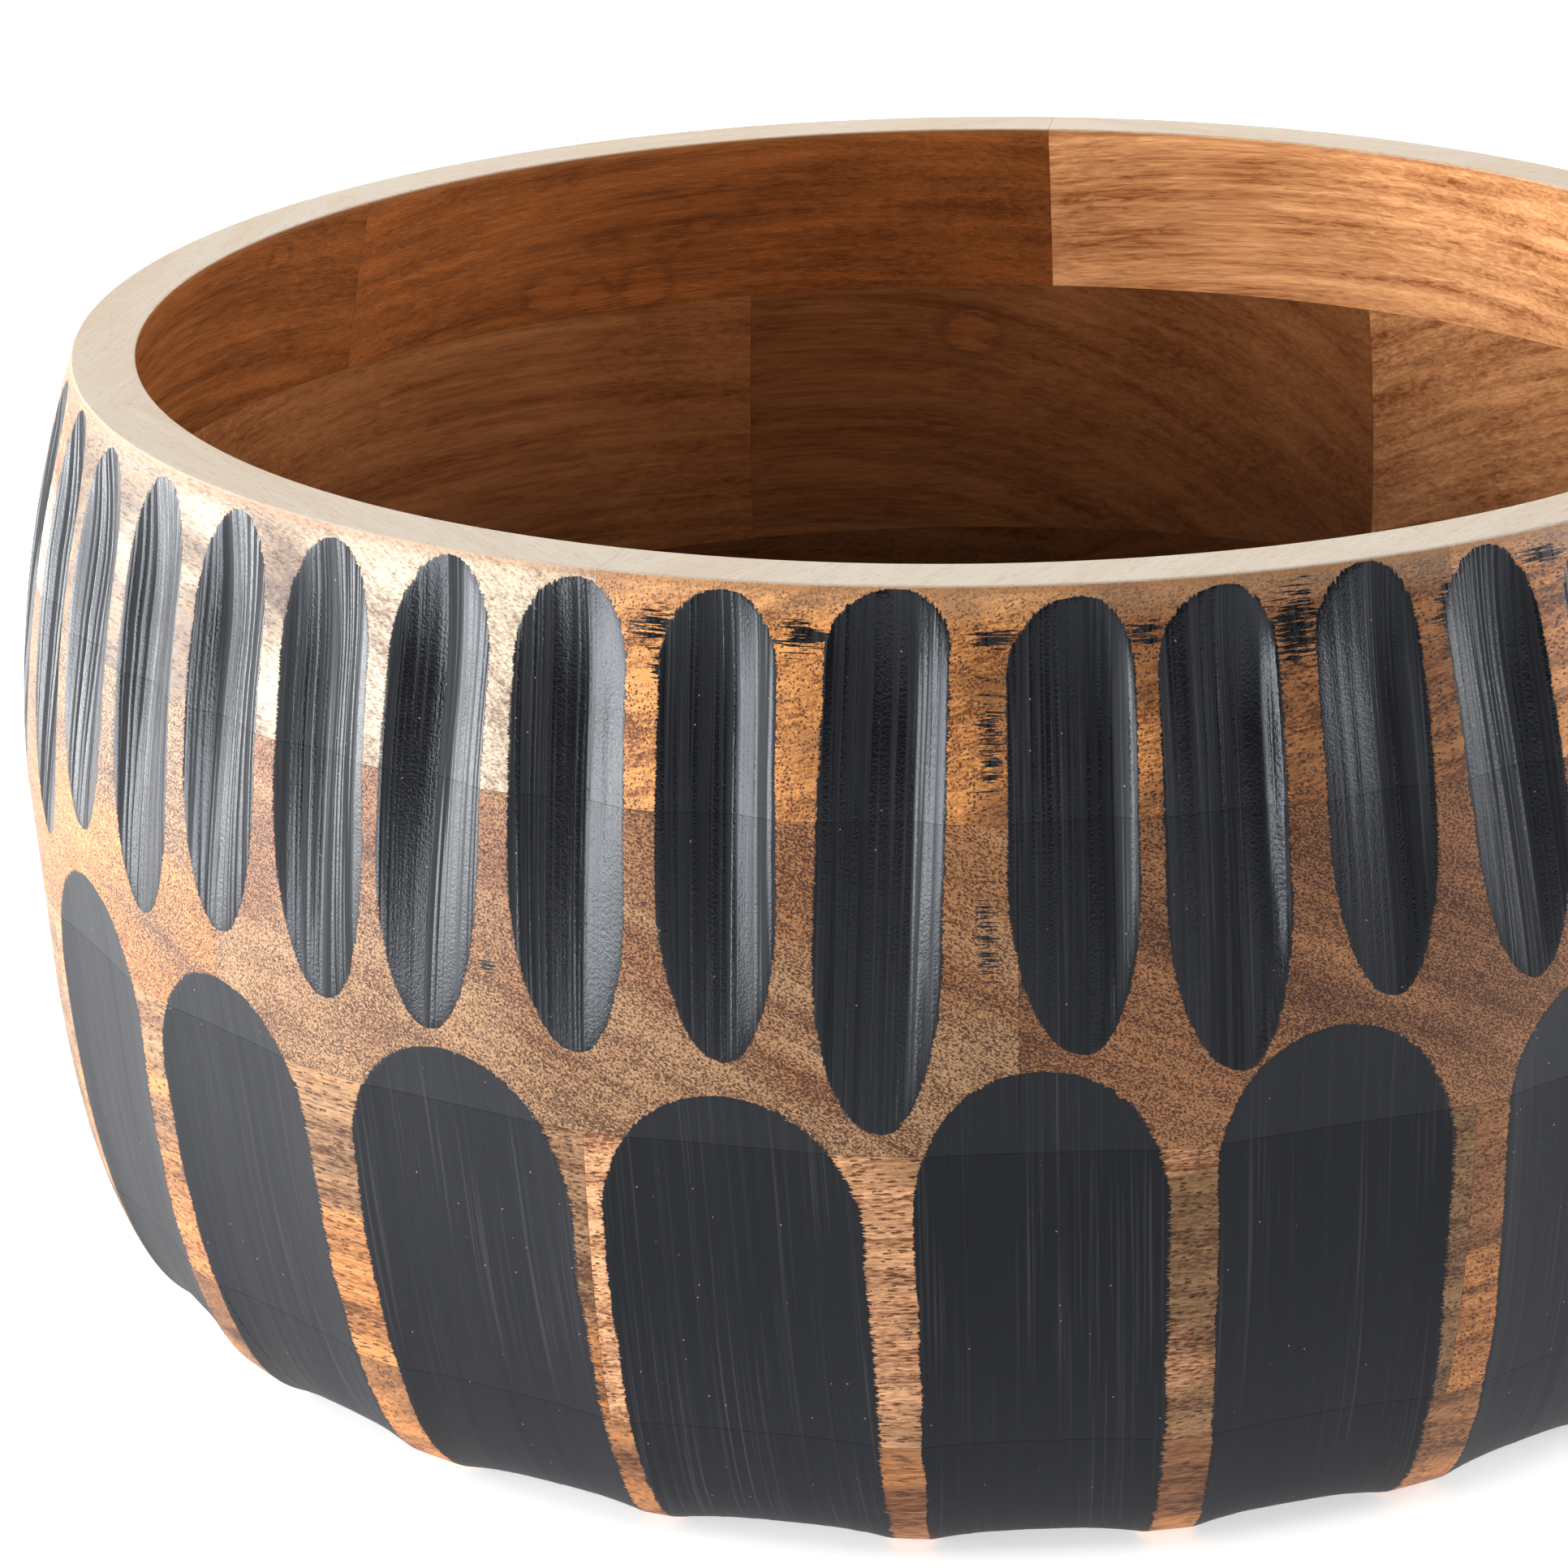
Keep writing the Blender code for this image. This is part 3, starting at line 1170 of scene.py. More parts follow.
KNOTS = (
    Patch(213.0, 25.5, 7.0, 5.0),
    Patch(209.6, 27.5, 5.0, 4.0),
    Patch(205.0, 27.0, 6.0, 5.0),
    Patch(203.2, 19.0, 4.5, 3.0, 0.85),
    Patch(208.6, 17.5, 6.0, 3.0, 0.75),
    Patch(200.6, 16.0, 4.5, 2.5, 0.80),
    Patch(211.9, 4.5, 1.6, 1.1, 0.90),
    Patch(242.0, 5.0, 4.0, 2.6),
    Patch(179.5, 40.0, 6.5, 5.5),
)


def all_smears(count: int = 26, seed: int = 5) -> tuple[Patch, ...]:
    """The smears seen in the photo, and more of the kind round the back.

    Args:
        count: how many more to deal.
        seed: the seed of the deal.

    Returns:
        The smears.
    """
    dice = random.Random(seed)
    more = [
        Patch(
            dice.uniform(48.0, 280.0),
            dice.uniform(3.0, 12.0),
            dice.uniform(2.0, 5.0),
            dice.uniform(1.5, 6.0),
        )
        for _ in range(count)
    ]
    return FRONT_SMEARS + tuple(more)


@dataclass(frozen=True)
class Figure:
    """Patterns of a timber: numbers about 0, and pores and hairs from 0 to 1."""

    cloud: Term
    bands: Term
    lines: Term
    flames: Term
    flecks: Term
    hairs: Term
    pores: Term


@dataclass(frozen=True)
class Spot:
    """Where a point lies on the bowl, in millimetres: below the rim, up, from the axis and round it."""

    below: Term
    height: Term
    radius: Term
    round_mm: Term


@dataclass(frozen=True)
class Zone:
    """Which part of the bowl a point is on, each from 0 to 1."""

    in_bowl: Term
    on_rim: Term


@dataclass(frozen=True)
class Marks:
    """A point's place in its cut, in millimetres, and the tool marks there."""

    edge: Term
    across: Term
    along: Term
    seed: Term
    wide: Term
    narrow: Term
    streak: Term
    ledge: Term
    grouped: Term


class CarvedWood:
    """The material of a layer: wood, its pale rim, its oiled inside and the black paint."""

    ROUND_RADIUS = 150.0
    GLOSS_TINT = (0.86, 0.92, 1.0)
    RIM_PALE = (0.57, 0.485, 0.385)
    RIM_WARM = (0.52, 0.405, 0.290)
    RIM_PORE = (0.34, 0.200, 0.095)
    SANDED = (0.58, 0.40, 0.25)
    SCORCH = (0.40, 0.18, 0.06)
    OIL_PALE = (0.66, 0.34, 0.15)
    OIL_DARK = (0.19, 0.056, 0.013)
    OIL_PORE = (0.09, 0.030, 0.009)
    KNOT = (0.60, 0.170, 0.036)
    NARROW_PAINT = (0.0064, 0.0066, 0.0084)
    WIDE_PAINT = (0.0036, 0.0039, 0.0064)
    WORN_PAINT = (0.0420, 0.0430, 0.0500)
    SPECK = (0.40, 0.37, 0.33)

    def __init__(self, shape: BowlShape) -> None:
        """Takes the bowl, for the height of its rim."""
        self.rim = shape.height

    def attribute(self, g: Graph, name: str, output: str = "Fac") -> Term:
        """A stored attribute of the piece."""
        node = g.node("ShaderNodeAttribute", attribute_name=name)
        return Term(g, node.outputs[output])

    def tint(self, g: Graph, share: Value, first: Value, second: Value) -> Term:
        """A mix of two colours.

        Args:
            g: the material's graph.
            share: 0 gives the first and 1 the second.
            first: a colour.
            second: a colour.

        Returns:
            The mix.
        """
        node = g.node("ShaderNodeMix", data_type="RGBA")
        g.feed(node.inputs[0], share)
        for socket, value in ((node.inputs[6], first), (node.inputs[7], second)):
            if isinstance(value, tuple):
                value = (*value, 1.0)
            g.feed(socket, value)
        return Term(g, node.outputs[2])

    def limit(self, g: Graph, value: Term) -> Term:
        """A number kept between 0 and 1."""
        return g.math("MINIMUM", g.math("MAXIMUM", value, 0.0), 1.0)

    def figure(self, g: Graph, finish: WoodFinish) -> Figure:
        """The timber's patterns, from each block's own place in its grain.

        Args:
            g: the material's graph.
            finish: the finish to dress it in.

        Returns:
            The patterns.
        """
        grain = self.attribute(g, "grain", "Vector")

        def noise(
            x: float, y: float, detail: float = 2.0, warp: float = 0.0, flat: float = 1.0
        ) -> Term:
            """Noise about 0, one cell in so many millimetres along and across the grain.

            Args:
                x: millimetres along the grain.
                y: millimetres across the growth rings.
                detail: octaves.
                warp: how wavy it is.
                flat: how much longer a cell is along the growth rings than across them.

            Returns:
                The noise.
            """
            stretch = g.vector("MULTIPLY", grain, (1.0 / x, 1.0 / y, 1.0 / (flat * y)))
            return g.noise(stretch, detail, warp) - 0.5

        long, wide = finish.pore
        shaken = g.vector("ADD", grain, g.vector("SCALE", g.shake(grain, 1.6), 0.4))
        far, pick = g.cells(g.vector("MULTIPLY", shaken, (1.0 / long, 1.0 / wide, 1.0 / wide)))
        likely = pick + 1.4 * noise(30.0, 2.6, 1.0)
        filled = g.ramp(likely, 0.90 - finish.crowd, 1.10 - finish.crowd)
        return Figure(
            cloud=noise(34.0, 10.0, 1.0),
            bands=noise(110.0, 2.6, 3.0, 0.5, flat=6.0),
            lines=noise(16.0, 0.40, 3.0, flat=2.5),
            flames=noise(9.0, 0.9, 3.0, 1.0),
            flecks=noise(*finish.fleck, 3.0),
            hairs=g.ramp(noise(4.0, 0.18, 1.0), 0.17, 0.25),
            pores=g.ramp(far, 0.37, 0.29) * filled,
        )

    def timber(self, g: Graph, finish: WoodFinish, figure: Figure) -> Term:
        """The colour of the outside.

        Args:
            g: the material's graph.
            finish: the finish to dress it in.
            figure: the timber's patterns.

        Returns:
            The colour.
        """
        tone = self.attribute(g, "tone", "Vector")
        heart = self.attribute(g, "heart", "Vector")
        drift = self.attribute(g, "drift") - 0.5
        open_grain = self.attribute(g, "open")
        turned = figure.cloud + 0.35 * figure.bands + 0.65 * drift
        base = self.tint(g, g.ramp(turned, -0.20, 0.20), tone, heart)
        value = (
            0.5
            + finish.bands * (0.4 + 0.6 * open_grain) * figure.bands
            + finish.lines * figure.lines
            + finish.flecks * figure.flecks
            + 0.8 * figure.cloud
        )
        dark = g.vector("MULTIPLY", base, (0.30, 0.205, 0.135))
        pale = g.vector("MULTIPLY", base, (1.52, 1.55, 1.56))
        colour = self.tint(g, self.limit(g, value), dark, pale)
        pit = g.vector("MULTIPLY", base, (0.15, 0.085, 0.05))
        colour = self.tint(g, (0.80 - 0.45 * open_grain) * figure.hairs, colour, pit)
        return self.tint(g, finish.pores * open_grain * figure.pores, colour, pit)

    def oiled(self, g: Graph, finish: WoodFinish, figure: Figure, spot: Spot) -> Term:
        """The colour of the oiled inside, with shade painted in: darker with depth, darkest where the
        wall meets the floor.

        Args:
            g: the material's graph.
            finish: the finish to dress it in.
            figure: the timber's patterns.
            spot: where the point lies on the bowl.

        Returns:
            The colour.
        """
        value = (
            0.5
            + 1.5 * figure.bands
            + 0.8 * figure.lines
            + 1.3 * figure.flames
            + 0.7 * figure.cloud
        )
        # The oil lightness is partly painted light: the back-right blocks are paler where the key
        # light's sheen falls inside.
        oil = self.attribute(g, "oil")
        light = self.tint(g, g.ramp(oil, 1.3, 2.3), finish.oil, self.OIL_PALE)
        colour = self.tint(g, self.limit(g, value), self.OIL_DARK, light)
        colour = self.tint(g, 0.45 * figure.hairs, colour, self.OIL_PORE)
        lump = self.attribute(g, "knot") + 0.9 * figure.flames
        colour = self.tint(g, 0.20 * g.ramp(lump, 0.40, 0.80), colour, self.KNOT)
        bark = g.ramp(g.math("ABSOLUTE", lump - 0.5), 0.22, 0.02)
        colour = self.tint(g, 0.34 * bark, colour, self.OIL_PORE)
        # Painted shade: the inside darkens with depth, and the middle of the floor is lifted, so the
        # cove where the wall meets the floor stays darkest.
        wear_and_painted_shade = 0.34 * g.ramp(spot.radius, 104.0, 60.0)
        shade = g.blend(g.ramp(spot.below, 25.0, 115.0), 0.95, 0.12) + wear_and_painted_shade
        return g.vector("SCALE", colour, oil * shade)

    def raw_rim(self, g: Graph, figure: Figure) -> Term:
        """The colour of the sanded rim.

        Args:
            g: the material's graph.
            figure: the timber's patterns.

        Returns:
            The colour.
        """
        warm = g.ramp(0.6 * figure.lines + figure.bands, -0.20, 0.35)
        colour = self.tint(g, warm, self.RIM_PALE, self.RIM_WARM)
        return self.tint(g, 0.85 * figure.hairs, colour, self.RIM_PORE)

    def spot(self, g: Graph) -> Spot:
        """Where a point of the surface lies on the bowl."""
        x, y, z = g.split(Term(g, g.node("ShaderNodeTexCoord").outputs["Object"]))
        return Spot(
            below=(self.rim - z) * PER_MM,
            height=z * PER_MM,
            radius=g.math("SQRT", x * x + y * y) * PER_MM,
            round_mm=g.math("ARCTAN2", x, 0.0 - y) * self.ROUND_RADIUS,
        )

    def marks(self, g: Graph) -> Marks:
        """Where a point lies in its cut, and the marks that the tool and the brush left there.

        Args:
            g: the material's graph.

        Returns:
            The marks.
        """
        across = self.attribute(g, "cut_across")
        along = self.attribute(g, "cut_along")
        seed = self.attribute(g, "cut_seed")
        wide = self.attribute(g, "cut_wide")
        score = g.noise(g.join(across * 0.85, along * 0.006, seed + 3.0), 1.0)
        grouped = g.noise(g.join(across * 0.16, seed, 6.0), 1.0)
        return Marks(
            edge=self.attribute(g, "cut_edge"),
            across=across,
            along=along,
            seed=seed,
            wide=wide,
            narrow=1.0 - wide,
            streak=g.noise(g.join(across * 2.0, along * 0.016, seed + 2.0), 3.0),
            ledge=g.math("ABSOLUTE", score - 0.5),
            grouped=g.ramp(grouped, 0.38, 0.56),
        )

    def wood(self, g: Graph, finish: WoodFinish, figure: Figure, spot: Spot, zone: Zone) -> Term:
        """The colour of the wood, outside, inside and on the rim.

        Args:
            g: the graph.
            finish: the layer's finish.
            figure: the timber's patterns.
            spot: where the point lies.
            zone: which part of the bowl it is on.

        Returns:
            The colour.
        """
        outside = self.timber(g, finish, figure)
        inside = self.oiled(g, finish, figure, spot)
        wood = self.tint(g, zone.in_bowl, outside, inside)
        sanded = g.ramp(spot.below, 6.5, 1.0) * (1.0 - zone.in_bowl)
        wood = self.tint(g, sanded * (0.30 + 0.9 * figure.flecks), wood, self.SANDED)
        scorch = g.ramp(spot.below, 0.1, 0.4) * g.ramp(spot.below, 1.6, 0.7)
        wood = self.tint(g, 0.5 * scorch, wood, self.SCORCH)
        return self.tint(g, zone.on_rim, wood, self.raw_rim(g, figure))

    def painted(self, g: Graph, spot: Spot, marks: Marks) -> Term:
        """Where the paint of the cuts lies, with its torn edge, from 0 to 1.

        Args:
            g: the material's graph.
            spot: where the point lies on the bowl.
            marks: where it lies in its cut.

        Returns:
            The cover of the paint.
        """
        across, along, seed = marks.across, marks.along, marks.seed
        fringe = g.noise(g.join(across * 0.70, spot.height * 4.6, seed), 3.0) - 0.5
        torn = g.noise(g.join(across * 0.25, spot.height * 0.9, seed + 1.0), 3.0) - 0.5
        bristle = g.noise(g.join(across * 2.8, along * 0.05, seed + 5.0), 3.0) - 0.5
        ragged = 1.1 + 1.5 * marks.wide * g.ramp(across, 0.0, 6.0)
        upright = 0.5 + 2.3 * g.ramp(along, 9.0, 1.0)
        reach = marks.edge + 0.15 + ragged * fringe + 0.8 * torn + upright * bristle
        return g.ramp(reach, -0.06, 0.06)

    def dragged(self, g: Graph, spot: Spot) -> Term:
        """Where a dry brush dragged paint over the wood, from 0 to 1.

        Args:
            g: the material's graph.
            spot: where the point lies on the bowl.

        Returns:
            The cover of the smears.
        """
        smear = self.attribute(g, "smear")
        dash = g.noise(g.join(spot.round_mm * 0.17, spot.height * 2.6, 3.0), 3.0)
        slit = g.noise(g.join(spot.round_mm * 0.40, spot.height * 5.5, 8.0), 2.0)
        smudge = 0.65 * dash + 0.35 * slit + 0.24 * smear
        return g.ramp(smudge, 0.64, 0.67) * g.ramp(smear, 0.06, 0.20)

    def paint(self, g: Graph, marks: Marks) -> Term:
        """The colour of the paint, with its worn streaks and pale specks.

        Args:
            g: the material's graph.
            marks: where it lies in its cut.

        Returns:
            The colour.
        """
        across, along, seed = marks.across, marks.along, marks.seed
        patch = g.noise(g.join(across * 0.11, along * 0.02, seed + 4.0), 1.0)
        crowded = g.ramp(patch, 0.40, 0.62)
        chip, lot = g.cells(g.join(across * 0.40, along * 0.40, seed))
        speck = g.ramp(chip, 0.055, 0.035) * g.ramp(lot, 0.45, 0.50)
        paint = self.tint(g, marks.wide, self.NARROW_PAINT, self.WIDE_PAINT)
        wear_and_painted_shade = g.ramp(marks.streak, 0.50, 0.78) * (0.25 + 0.75 * crowded)
        paint = self.tint(g, wear_and_painted_shade, paint, self.WORN_PAINT)
        return self.tint(g, 0.8 * speck, paint, self.SPECK)

    def tooling(self, g: Graph, marks: Marks) -> Term:
        """The height of the tool marks under the paint, in millimetres.

        Args:
            g: the material's graph.
            marks: where it lies in its cut.

        Returns:
            The height.
        """
        crease = g.math("ABSOLUTE", marks.streak - 0.5)
        grain = g.join(marks.across * 2.8, marks.along * 2.2, marks.seed + 7.0)
        pebble = g.noise(grain, 2.0)
        scored = g.math("MINIMUM", marks.ledge, 0.16) * marks.grouped
        deep = marks.narrow * (0.45 * scored + 0.06 * crease)
        return deep + 0.02 * crease + (0.02 + 0.045 * marks.narrow) * pebble

    def build(self, finish: WoodFinish) -> bpy.types.Material:
        """Builds the material.

        Args:
            finish: the layer's finish.

        Returns:
            The material, named after its slot.
        """
        material = bpy.data.materials.new(finish.name)
        material.use_nodes = True
        g = Graph(material.node_tree)
        shader = material.node_tree.nodes["Principled BSDF"]
        shader.inputs["Specular IOR Level"].default_value = finish.gloss
        shader.inputs["Specular Tint"].default_value = (*self.GLOSS_TINT, 1.0)

        spot = self.spot(g)
        marks = self.marks(g)
        figure = self.figure(g, finish)
        in_bowl = g.ramp(self.attribute(g, "inside"), 0.35, 0.65)
        zone = Zone(in_bowl, on_rim=g.ramp(spot.below, 0.36, 0.14))
        painted = self.painted(g, spot, marks)
        cover = g.math("MAXIMUM", painted, self.dragged(g, spot))
        wood = self.wood(g, finish, figure, spot, zone)
        g.feed(shader.inputs["Base Color"], self.tint(g, cover, wood, self.paint(g, marks)))

        bare = finish.roughness + 0.25 * figure.lines + 0.10 * figure.pores
        bare = g.blend(zone.in_bowl, bare, 0.40 + 0.2 * figure.lines)
        bare = g.blend(zone.on_rim, bare, 0.62)
        groove = g.ramp(marks.ledge, 0.085, 0.035) * marks.grouped * marks.narrow
        slick = 0.22 + 0.29 * marks.wide + 0.20 * (marks.streak - 0.5) + 0.60 * groove
        g.feed(shader.inputs["Roughness"], g.blend(cover, bare, slick))

        grain = 0.04 * figure.lines - 0.05 * figure.pores
        bump = g.node("ShaderNodeBump")
        g.feed(bump.inputs["Strength"], 1.0)
        g.feed(bump.inputs["Distance"], MM)
        g.feed(bump.inputs["Height"], g.blend(painted, grain, self.tooling(g, marks)))
        g.feed(shader.inputs["Normal"], Term(g, bump.outputs["Normal"]))
        return material


@dataclass
class BlockWork:
    """What the rings and the base share: the shape, the joints and the way pieces are made.

    Args:
        shape: the turned bowl.
        step: about how far apart the points of the carved wall lie.
        glue_line: the gap that shows at a joint.
        inner_step: about how far apart the points of the inside lie.
        smears: paint dragged over the wood.
        knots: knots that show on the inside.
    """

    shape: BowlShape
    step: float = 0.58 * MM
    glue_line: float = 0.05 * MM
    inner_step: float = 2.0 * MM
    smears: tuple[Patch, ...] = field(default_factory=all_smears)
    knots: tuple[Patch, ...] = KNOTS

    def mesh_of(self, name: str, points: np.ndarray, faces: list[np.ndarray]) -> bpy.types.Mesh:
        """A mesh from points and rows of corners.

        Args:
            name: the mesh's name.
            points: one row for each point.
            faces: arrays of corners, one row for each face.

        Returns:
            The mesh, smooth.
        """
        mesh = bpy.data.meshes.new(name)
        corners = np.concatenate([rows.ravel() for rows in faces])
        sizes = np.concatenate([np.full(len(rows), rows.shape[1]) for rows in faces])
        starts = np.concatenate([[0], np.cumsum(sizes)[:-1]])
        mesh.vertices.add(len(points))
        mesh.vertices.foreach_set("co", points.astype(np.float32).ravel())
        mesh.loops.add(len(corners))
        mesh.loops.foreach_set("vertex_index", corners.astype(np.int32))
        mesh.polygons.add(len(sizes))
        mesh.polygons.foreach_set("loop_start", starts.astype(np.int32))
        mesh.update(calc_edges=True)
        return mesh

    def swept(self, section: Section, turns: np.ndarray) -> dict[str, np.ndarray]:
        """The points of a section at each turn, and what the carving needs of them.

        Args:
            section: the section.
            turns: azimuths in radians, one row for each place and one column for each point.

        Returns:
            Arrays of points, outward directions and the section's own values.
        """
        radius = np.array(section.radius)
        height = np.broadcast_to(section.height, turns.shape)
        out_r, out_z = np.array(section.facing).T
        sine, cosine = np.sin(turns), np.cos(turns)
        points = np.stack([radius * sine, -radius * cosine, height], axis=-1)
        up = np.broadcast_to(out_z, turns.shape)
        outward = np.stack([out_r * sine, -out_r * cosine, up], axis=-1)
        return {
            "points": points.reshape(-1, 3),
            "outward": outward.reshape(-1, 3),
            "down": np.broadcast_to(section.down, turns.shape).ravel(),
            "wall": np.broadcast_to(section.wall, turns.shape).ravel(),
            "inside": np.broadcast_to(section.inside, turns.shape).ravel(),
        }

    def season(self, mesh: bpy.types.Mesh, timber: Timber, azimuth: float, lot: int) -> None:
        """Gives a block its own timber: a tone, and a place in the grain in millimetres.

        Args:
            mesh: the block.
            timber: its wood.
            azimuth: the middle of the block, in degrees.
            lot: a number of its own.
        """
        dice = random.Random(lot)
        count = len(mesh.vertices)
        points = np.empty(3 * count, np.float32)
        mesh.vertices.foreach_get("co", points)
        outside = np.empty(count, np.float32)
        mesh.attributes["wall"].data.foreach_get("value", outside)
        way = math.radians(azimuth + timber.turn)
        rise = math.radians(timber.climb)
        spin = math.radians(timber.roll)
        along = np.array(
            [math.cos(way) * math.cos(rise), math.sin(way) * math.cos(rise), math.sin(rise)]
        )
        level = np.array([-math.sin(way), math.cos(way), 0.0])
        upright = np.cross(along, level)
        second = math.cos(spin) * level + math.sin(spin) * upright
        third = np.cross(along, second)
        frame = np.column_stack([along, second, third])
        offset = np.array([dice.uniform(-900.0, 900.0) for _ in range(3)])
        points = points.reshape(-1, 3)
        store(mesh, "grain", points @ frame * PER_MM + offset)
        store(mesh, "tone", np.tile(timber.tone.value, (count, 1)))
        store(mesh, "heart", np.tile(timber.heart.value, (count, 1)))
        store(mesh, "oil", np.full(count, timber.oil))
        store(mesh, "open", np.full(count, timber.open))
        turn = np.arctan2(points[:, 0], -points[:, 1]) - math.radians(azimuth)
        turn = (turn + math.pi) % (2.0 * math.pi) - math.pi
        gone = turn if timber.drift is Drift.ROUND else -points[:, 2]
        store(mesh, "drift", (gone - gone.min()) / (gone.max() - gone.min()))
        inside = np.empty(count, np.float32)
        mesh.attributes["inside"].data.foreach_get("value", inside)
        for name, patches, side in (("smear", self.smears, outside), ("knot", self.knots, inside)):
            thick = [patch.strength(points, self.shape.height) for patch in patches]
            store(mesh, name, np.max(thick, axis=0) * side)

    def finish(self, piece: bpy.types.Object, slot: str) -> None:
        """Smooths a carved piece, keeps its sawn edges and hands it to the frame.

        Args:
            piece: the carved piece.
            slot: the name of its finish slot; not used.
        """
        piece.data.polygons.foreach_set("use_smooth", [True] * len(piece.data.polygons))
        piece.data.set_sharp_from_angle(angle=math.radians(50.0))
        node = piece.name.removesuffix("_carved")
        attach(piece, "root")
        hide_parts(node)
        LOG.info("%s: %d faces", piece.name, len(piece.data.polygons))


@dataclass
class BlockRing(BlockWork):
    """A ring of butt-jointed blocks.

    Args:
        ring: which ring.
        first_joint: azimuth of its first joint, in degrees.
        timbers: the wood of its blocks, in order.
    """

    ring: Ring = Ring.TOP
    first_joint: float = 0.0
    timbers: tuple[Timber, ...] = ()
    short_blocks: int = 5
    long_blocks: int = 2
    short_angle: float = 48.5

    def joints(self) -> list[float]:
        """Azimuths of the joints, from the first round to the first again.

        Returns:
            The azimuths, in degrees.
        """
        long_angle = (360.0 - self.short_blocks * self.short_angle) / self.long_blocks
        found = [self.first_joint]
        for angle in [self.short_angle] * self.short_blocks + [long_angle] * self.long_blocks:
            found.append(found[-1] + angle)
        return found

    def section(self) -> Section:
        """The section between this ring's two glue lines, or up to the rim.

        Returns:
            The section.
        """
        shape = self.shape
        outer, inner = shape.outside(), shape.inside()
        low, high = (float(corner[2]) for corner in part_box(f"{self.ring.value}_block_1"))
        low = low - 0.15 * MM + 0.5 * self.glue_line
        high = high + 0.15 * MM - 0.5 * self.glue_line
        made = Section()
        top_drop = shape.rim_edge if self.ring is Ring.TOP else shape.height - high
        low_drop = shape.height - low
        made.add_outside(outer, outer.length_at(top_drop), outer.length_at(low_drop), self.step)
        made.add_inside(
            inner, inner.length_at(low_drop), inner.length_at(top_drop), self.inner_step
        )
        if self.ring is Ring.TOP:
            self.add_rim(made)
        return made

    def add_rim(self, section: Section) -> None:
        """Adds the flat rim and its two eased edges, from the inside out.

        Args:
            section: the section to close.
        """
        shape = self.shape
        edge = shape.rim_edge
        side_in, side_out = section.radius[-1], section.radius[0]
        flat_in = side_in + edge
        flat_out = side_out - edge
        for turn in np.linspace(0.0, 0.5 * math.pi, 6)[1:]:
            radius = flat_in - edge * math.cos(turn)
            section.add(radius, shape.height - edge * (1.0 - math.sin(turn)), 1.0)
        for share in np.linspace(0.0, 1.0, 8)[1:-1]:
            section.add(flat_in + (flat_out - flat_in) * share, shape.height, 1.0 - share)
        for turn in np.linspace(0.5 * math.pi, 0.0, 6)[:-1]:
            radius = flat_out + edge * math.cos(turn)
            section.add(radius, shape.height - edge * (1.0 - math.sin(turn)), 0.0)

    def block(self, number: int, first: float, last: float, section: Section) -> bpy.types.Object:
        """One block, sawn between two joints.

        Args:
            number: its place in the ring.
            first: azimuth of its first joint, in degrees.
            last: azimuth of its last joint, in degrees.
            section: the ring's section.

        Returns:
            The block, not yet carved.
        """
        radius = np.array(section.radius)
        kerf = np.arcsin(0.5 * self.glue_line / radius)
        start, end = math.radians(first) + kerf, math.radians(last) - kerf
        columns = math.ceil(math.radians(last - first) * self.shape.belly_radius / self.step)
        share = np.linspace(0.0, 1.0, columns + 1)[:, None]
        made = self.swept(section, start + share * (end - start))
        count = len(radius)
        corner = np.arange((columns + 1) * count).reshape(columns + 1, count)
        below = np.roll(corner, -1, axis=1)
        sides = np.stack([corner[:-1], below[:-1], below[1:], corner[1:]], axis=-1).reshape(-1, 4)
        name = f"{self.ring.value}_block_{number}"
        ends = [corner[0][::-1][None, :], corner[-1][None, :]]
        mesh = self.mesh_of(name, made["points"], [sides] + ends)
        for key in ("outward", "down", "wall", "inside"):
            store(mesh, key, made[key])
        self.season(mesh, self.timbers[number - 1], 0.5 * (first + last), hash_of(name))
        piece = bpy.data.objects.new(f"{name}_carved", mesh)
        bpy.context.scene.collection.objects.link(piece)
        return piece

    def build(self) -> list[bpy.types.Object]:
        """All the ring's blocks.

        Returns:
            The blocks, not yet carved.
        """
        section = self.section()
        joints = self.joints()
        return [
            self.block(number, first, last, section)
            for number, (first, last) in enumerate(zip(joints, joints[1:]), 1)
        ]


